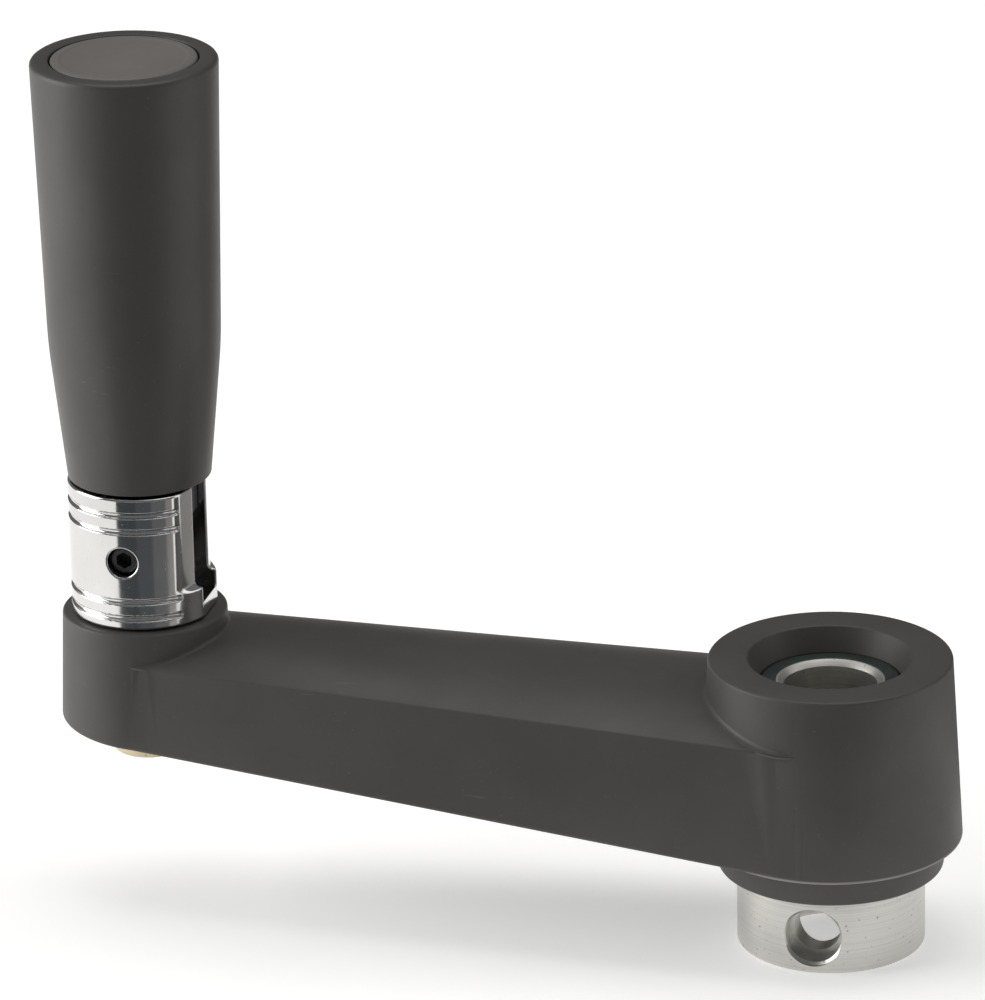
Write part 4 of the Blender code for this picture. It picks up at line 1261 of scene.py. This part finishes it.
print("arm with hub and boss:", len(arm.data.polygons), "faces")

# %% Lay the fillets where the crown meets a wall


def fillet(name, centre_x, foot_r, top_r, foot_z, facing, size):
    """A bead with a hollow face, laid in the corner between a wall and the crown."""
    def wall(z):
        return foot_r + (top_r - foot_r) * (z - foot_z) / (HUB_TOP - foot_z)

    loops = []
    sweep = math.radians(84.0)
    for step in range(-60, 61):
        angle = sweep * step / 60.0
        fade = min(1.0, (sweep - abs(angle)) / math.radians(9.0) + 0.12)
        ax, ay = facing * math.cos(angle), math.sin(angle)

        def on_crown(out):
            radius = wall(crown_z) + out
            x, y = centre_x + ax * radius, ay * radius
            return x, y, crown(x, y)[0]

        crown_z = crown(centre_x + ax * wall(45.0), ay * wall(45.0))[0]
        r = size * fade
        x0, y0, crown_z = on_crown(0.0)
        x1, y1, z1 = on_crown(r)
        top_z = crown_z + r
        top_x, top_y = centre_x + ax * (wall(top_z) - 0.015), ay * (wall(top_z) - 0.015)
        loop = [(top_x, top_y, top_z)]
        for i in range(1, 6):
            t = i / 6.0
            a, b, c = (1 - t) ** 2, 2 * t * (1 - t), t * t
            loop.append((a * top_x + b * x0 + c * x1, a * top_y + b * y0 + c * y1,
                         a * top_z + b * crown_z + c * z1))
        loop.append((x1, y1, z1 - 0.012))
        loop.append((x1 - ax * 0.1, y1 - ay * 0.1, z1 - 0.4))
        loop.append((x0 - ax * 0.5, y0 - ay * 0.5, crown_z - 0.4))
        loop.append((top_x - ax * 0.4, top_y - ay * 0.4, top_z - 0.1))
        loops.append(loop)
    return loft(name, loops)


carve(arm, fillet("hub_fillet", 0.0, HUB_FOOT_R, HUB_TOP_R, HUB_FOOT, -1.0, 0.9), "UNION")
carve(arm, fillet("boss_fillet", HANDLE_X, BOSS_FOOT_R, BOSS_TOP_R, UNDERSIDE, 1.0, 0.6),
      "UNION")
smooth(arm.data, math.radians(30.0))
settle(arm, "crank_arm")

# %% [markdown]
# ## What stays from the frame
# The wave washer is a thin pressed ring that the frame already draws as it is. It only gets
# its spring steel finish.

# %% Finish the wave washer
dress(frame["nodes"]["wave_washer"].data, spring_steel)
for node, shown in frame["nodes"].items():
    if not shown.hide_render and node != "wave_washer":
        print("  still shown from the frame:", node)

# %% [markdown]
# ## Floor and light
# The handle stands on a pale floor, which the upright chrome mirrors. A broad soft lamp on
# the left makes the plastic's edges glow, and a weaker one on the right does the same there.
# Dark cards on the floor, seen only in the gloss, give the chrome its cool dark middle band.

# %% Lay the floor
FLOOR_Z = -0.0003


def flat_sheet(name, half_x, half_y, centre, facing=Vector((0.0, 0.0, 1.0))):
    mesh = bpy.data.meshes.new(name)
    turn_to = facing.to_track_quat("Z", "Y").to_matrix().to_4x4()
    places = [Vector((x, y, 0.0)) for x, y in
              ((-half_x, -half_y), (half_x, -half_y), (half_x, half_y), (-half_x, half_y))]
    mesh.from_pydata([Matrix.Translation(centre) @ turn_to @ p for p in places], [],
                     [(0, 1, 2, 3)])
    return link(name, mesh)


floor = flat_sheet("floor", 6.0, 6.0, Vector((0.0, 0.0, FLOOR_Z)))
paper = Finish("pale paper", Roughness=0.9, Emission_Strength=0.45)
fibre = paper.noise(30.0, 5.0)
paper_tone = paper.blend(fibre, (0.86, 0.86, 0.855), (0.90, 0.90, 0.895))
paper.feed("Base Color", paper_tone)
paper.feed("Emission Color", paper_tone)
floor.data.materials.append(paper.material)

# %% Hang the lamps


def lamp(name, place, towards, size, power, tint):
    light = bpy.data.lights.new(name, "AREA")
    light.shape = "RECTANGLE"
    light.size, light.size_y = size
    light.energy = power
    light.color = tint
    held = bpy.data.objects.new(name, light)
    bpy.context.scene.collection.objects.link(held)
    look = (Vector(towards) - Vector(place)).to_track_quat("-Z", "Y").to_matrix().to_4x4()
    held.matrix_world = Matrix.Translation(place) @ look
    return held


WHITE = (1.0, 0.985, 0.965)
lamp("left softbox", (-1.6, -0.35, 0.55), (-0.08, 0.0, 0.06), (1.2, 1.5), 27.0, WHITE)
lamp("right softbox", (1.5, 0.35, 0.7), (-0.05, 0.0, 0.05), (0.9, 1.2), 3.4, WHITE)
lamp("top softbox", (0.0, 0.3, 1.6), (-0.06, 0.0, 0.04), (1.6, 1.2), 11.0, WHITE)

world = bpy.data.worlds.new("studio")
bpy.context.scene.world = world
world.use_nodes = True
room = world.node_tree.nodes["Background"]
room.inputs["Color"].default_value = (0.78, 0.80, 0.83, 1.0)
room.inputs["Strength"].default_value = 0.2

# %% Lay dark cards that only the gloss sees


def dark_card(name, centre, inner, outer, start, stop, tone):
    """A flat sector on the floor, turned towards the viewer and seen only in reflections."""
    towards = math.atan2(back.y, back.x)
    near, far = [], []
    steps = 12
    for i in range(steps + 1):
        angle = towards + math.radians(start + (stop - start) * i / steps)
        ray = Vector((math.cos(angle), math.sin(angle), 0.0))
        near.append(centre + ray * inner)
        far.append(centre + ray * outer)
    mesh = bpy.data.meshes.new(name)
    mesh.from_pydata(near + far[::-1], [], [tuple(range(2 * steps + 2))])
    card = link(name, mesh)
    cloth = Finish(name + " cloth", Roughness=0.9)
    cloth.feed("Base Color", cloth.blend(cloth.noise(40.0), tone, [1.2 * c for c in tone]))
    mesh.materials.append(cloth.material)
    card.visible_camera = False
    card.visible_diffuse = False
    card.visible_shadow = False
    return card


FORK_FLOOR = Vector((HANDLE_X * MM, 0.0, 0.004))
dark_card("dark card for the fork", FORK_FLOOR, 0.055, 1.2, -36.0, -6.0, (0.045, 0.054, 0.062))
dark_card("middle card for the fork", FORK_FLOOR, 0.055, 1.2, -6.0, 18.0, (0.075, 0.085, 0.094))
dark_card("paler card for the fork", FORK_FLOOR, 0.055, 1.2, 18.0, 40.0, (0.14, 0.145, 0.15))
dark_card("grey card for the fork", FORK_FLOOR, 0.12, 1.2, 40.0, 52.0, (0.30, 0.29, 0.28))
dark_card("back card for the fork", FORK_FLOOR, 0.12, 1.2, 98.0, 136.0, (0.30, 0.29, 0.28))
bpy.context.scene.view_settings.view_transform = "Standard"
print("three lamps, five cards and a grey room")
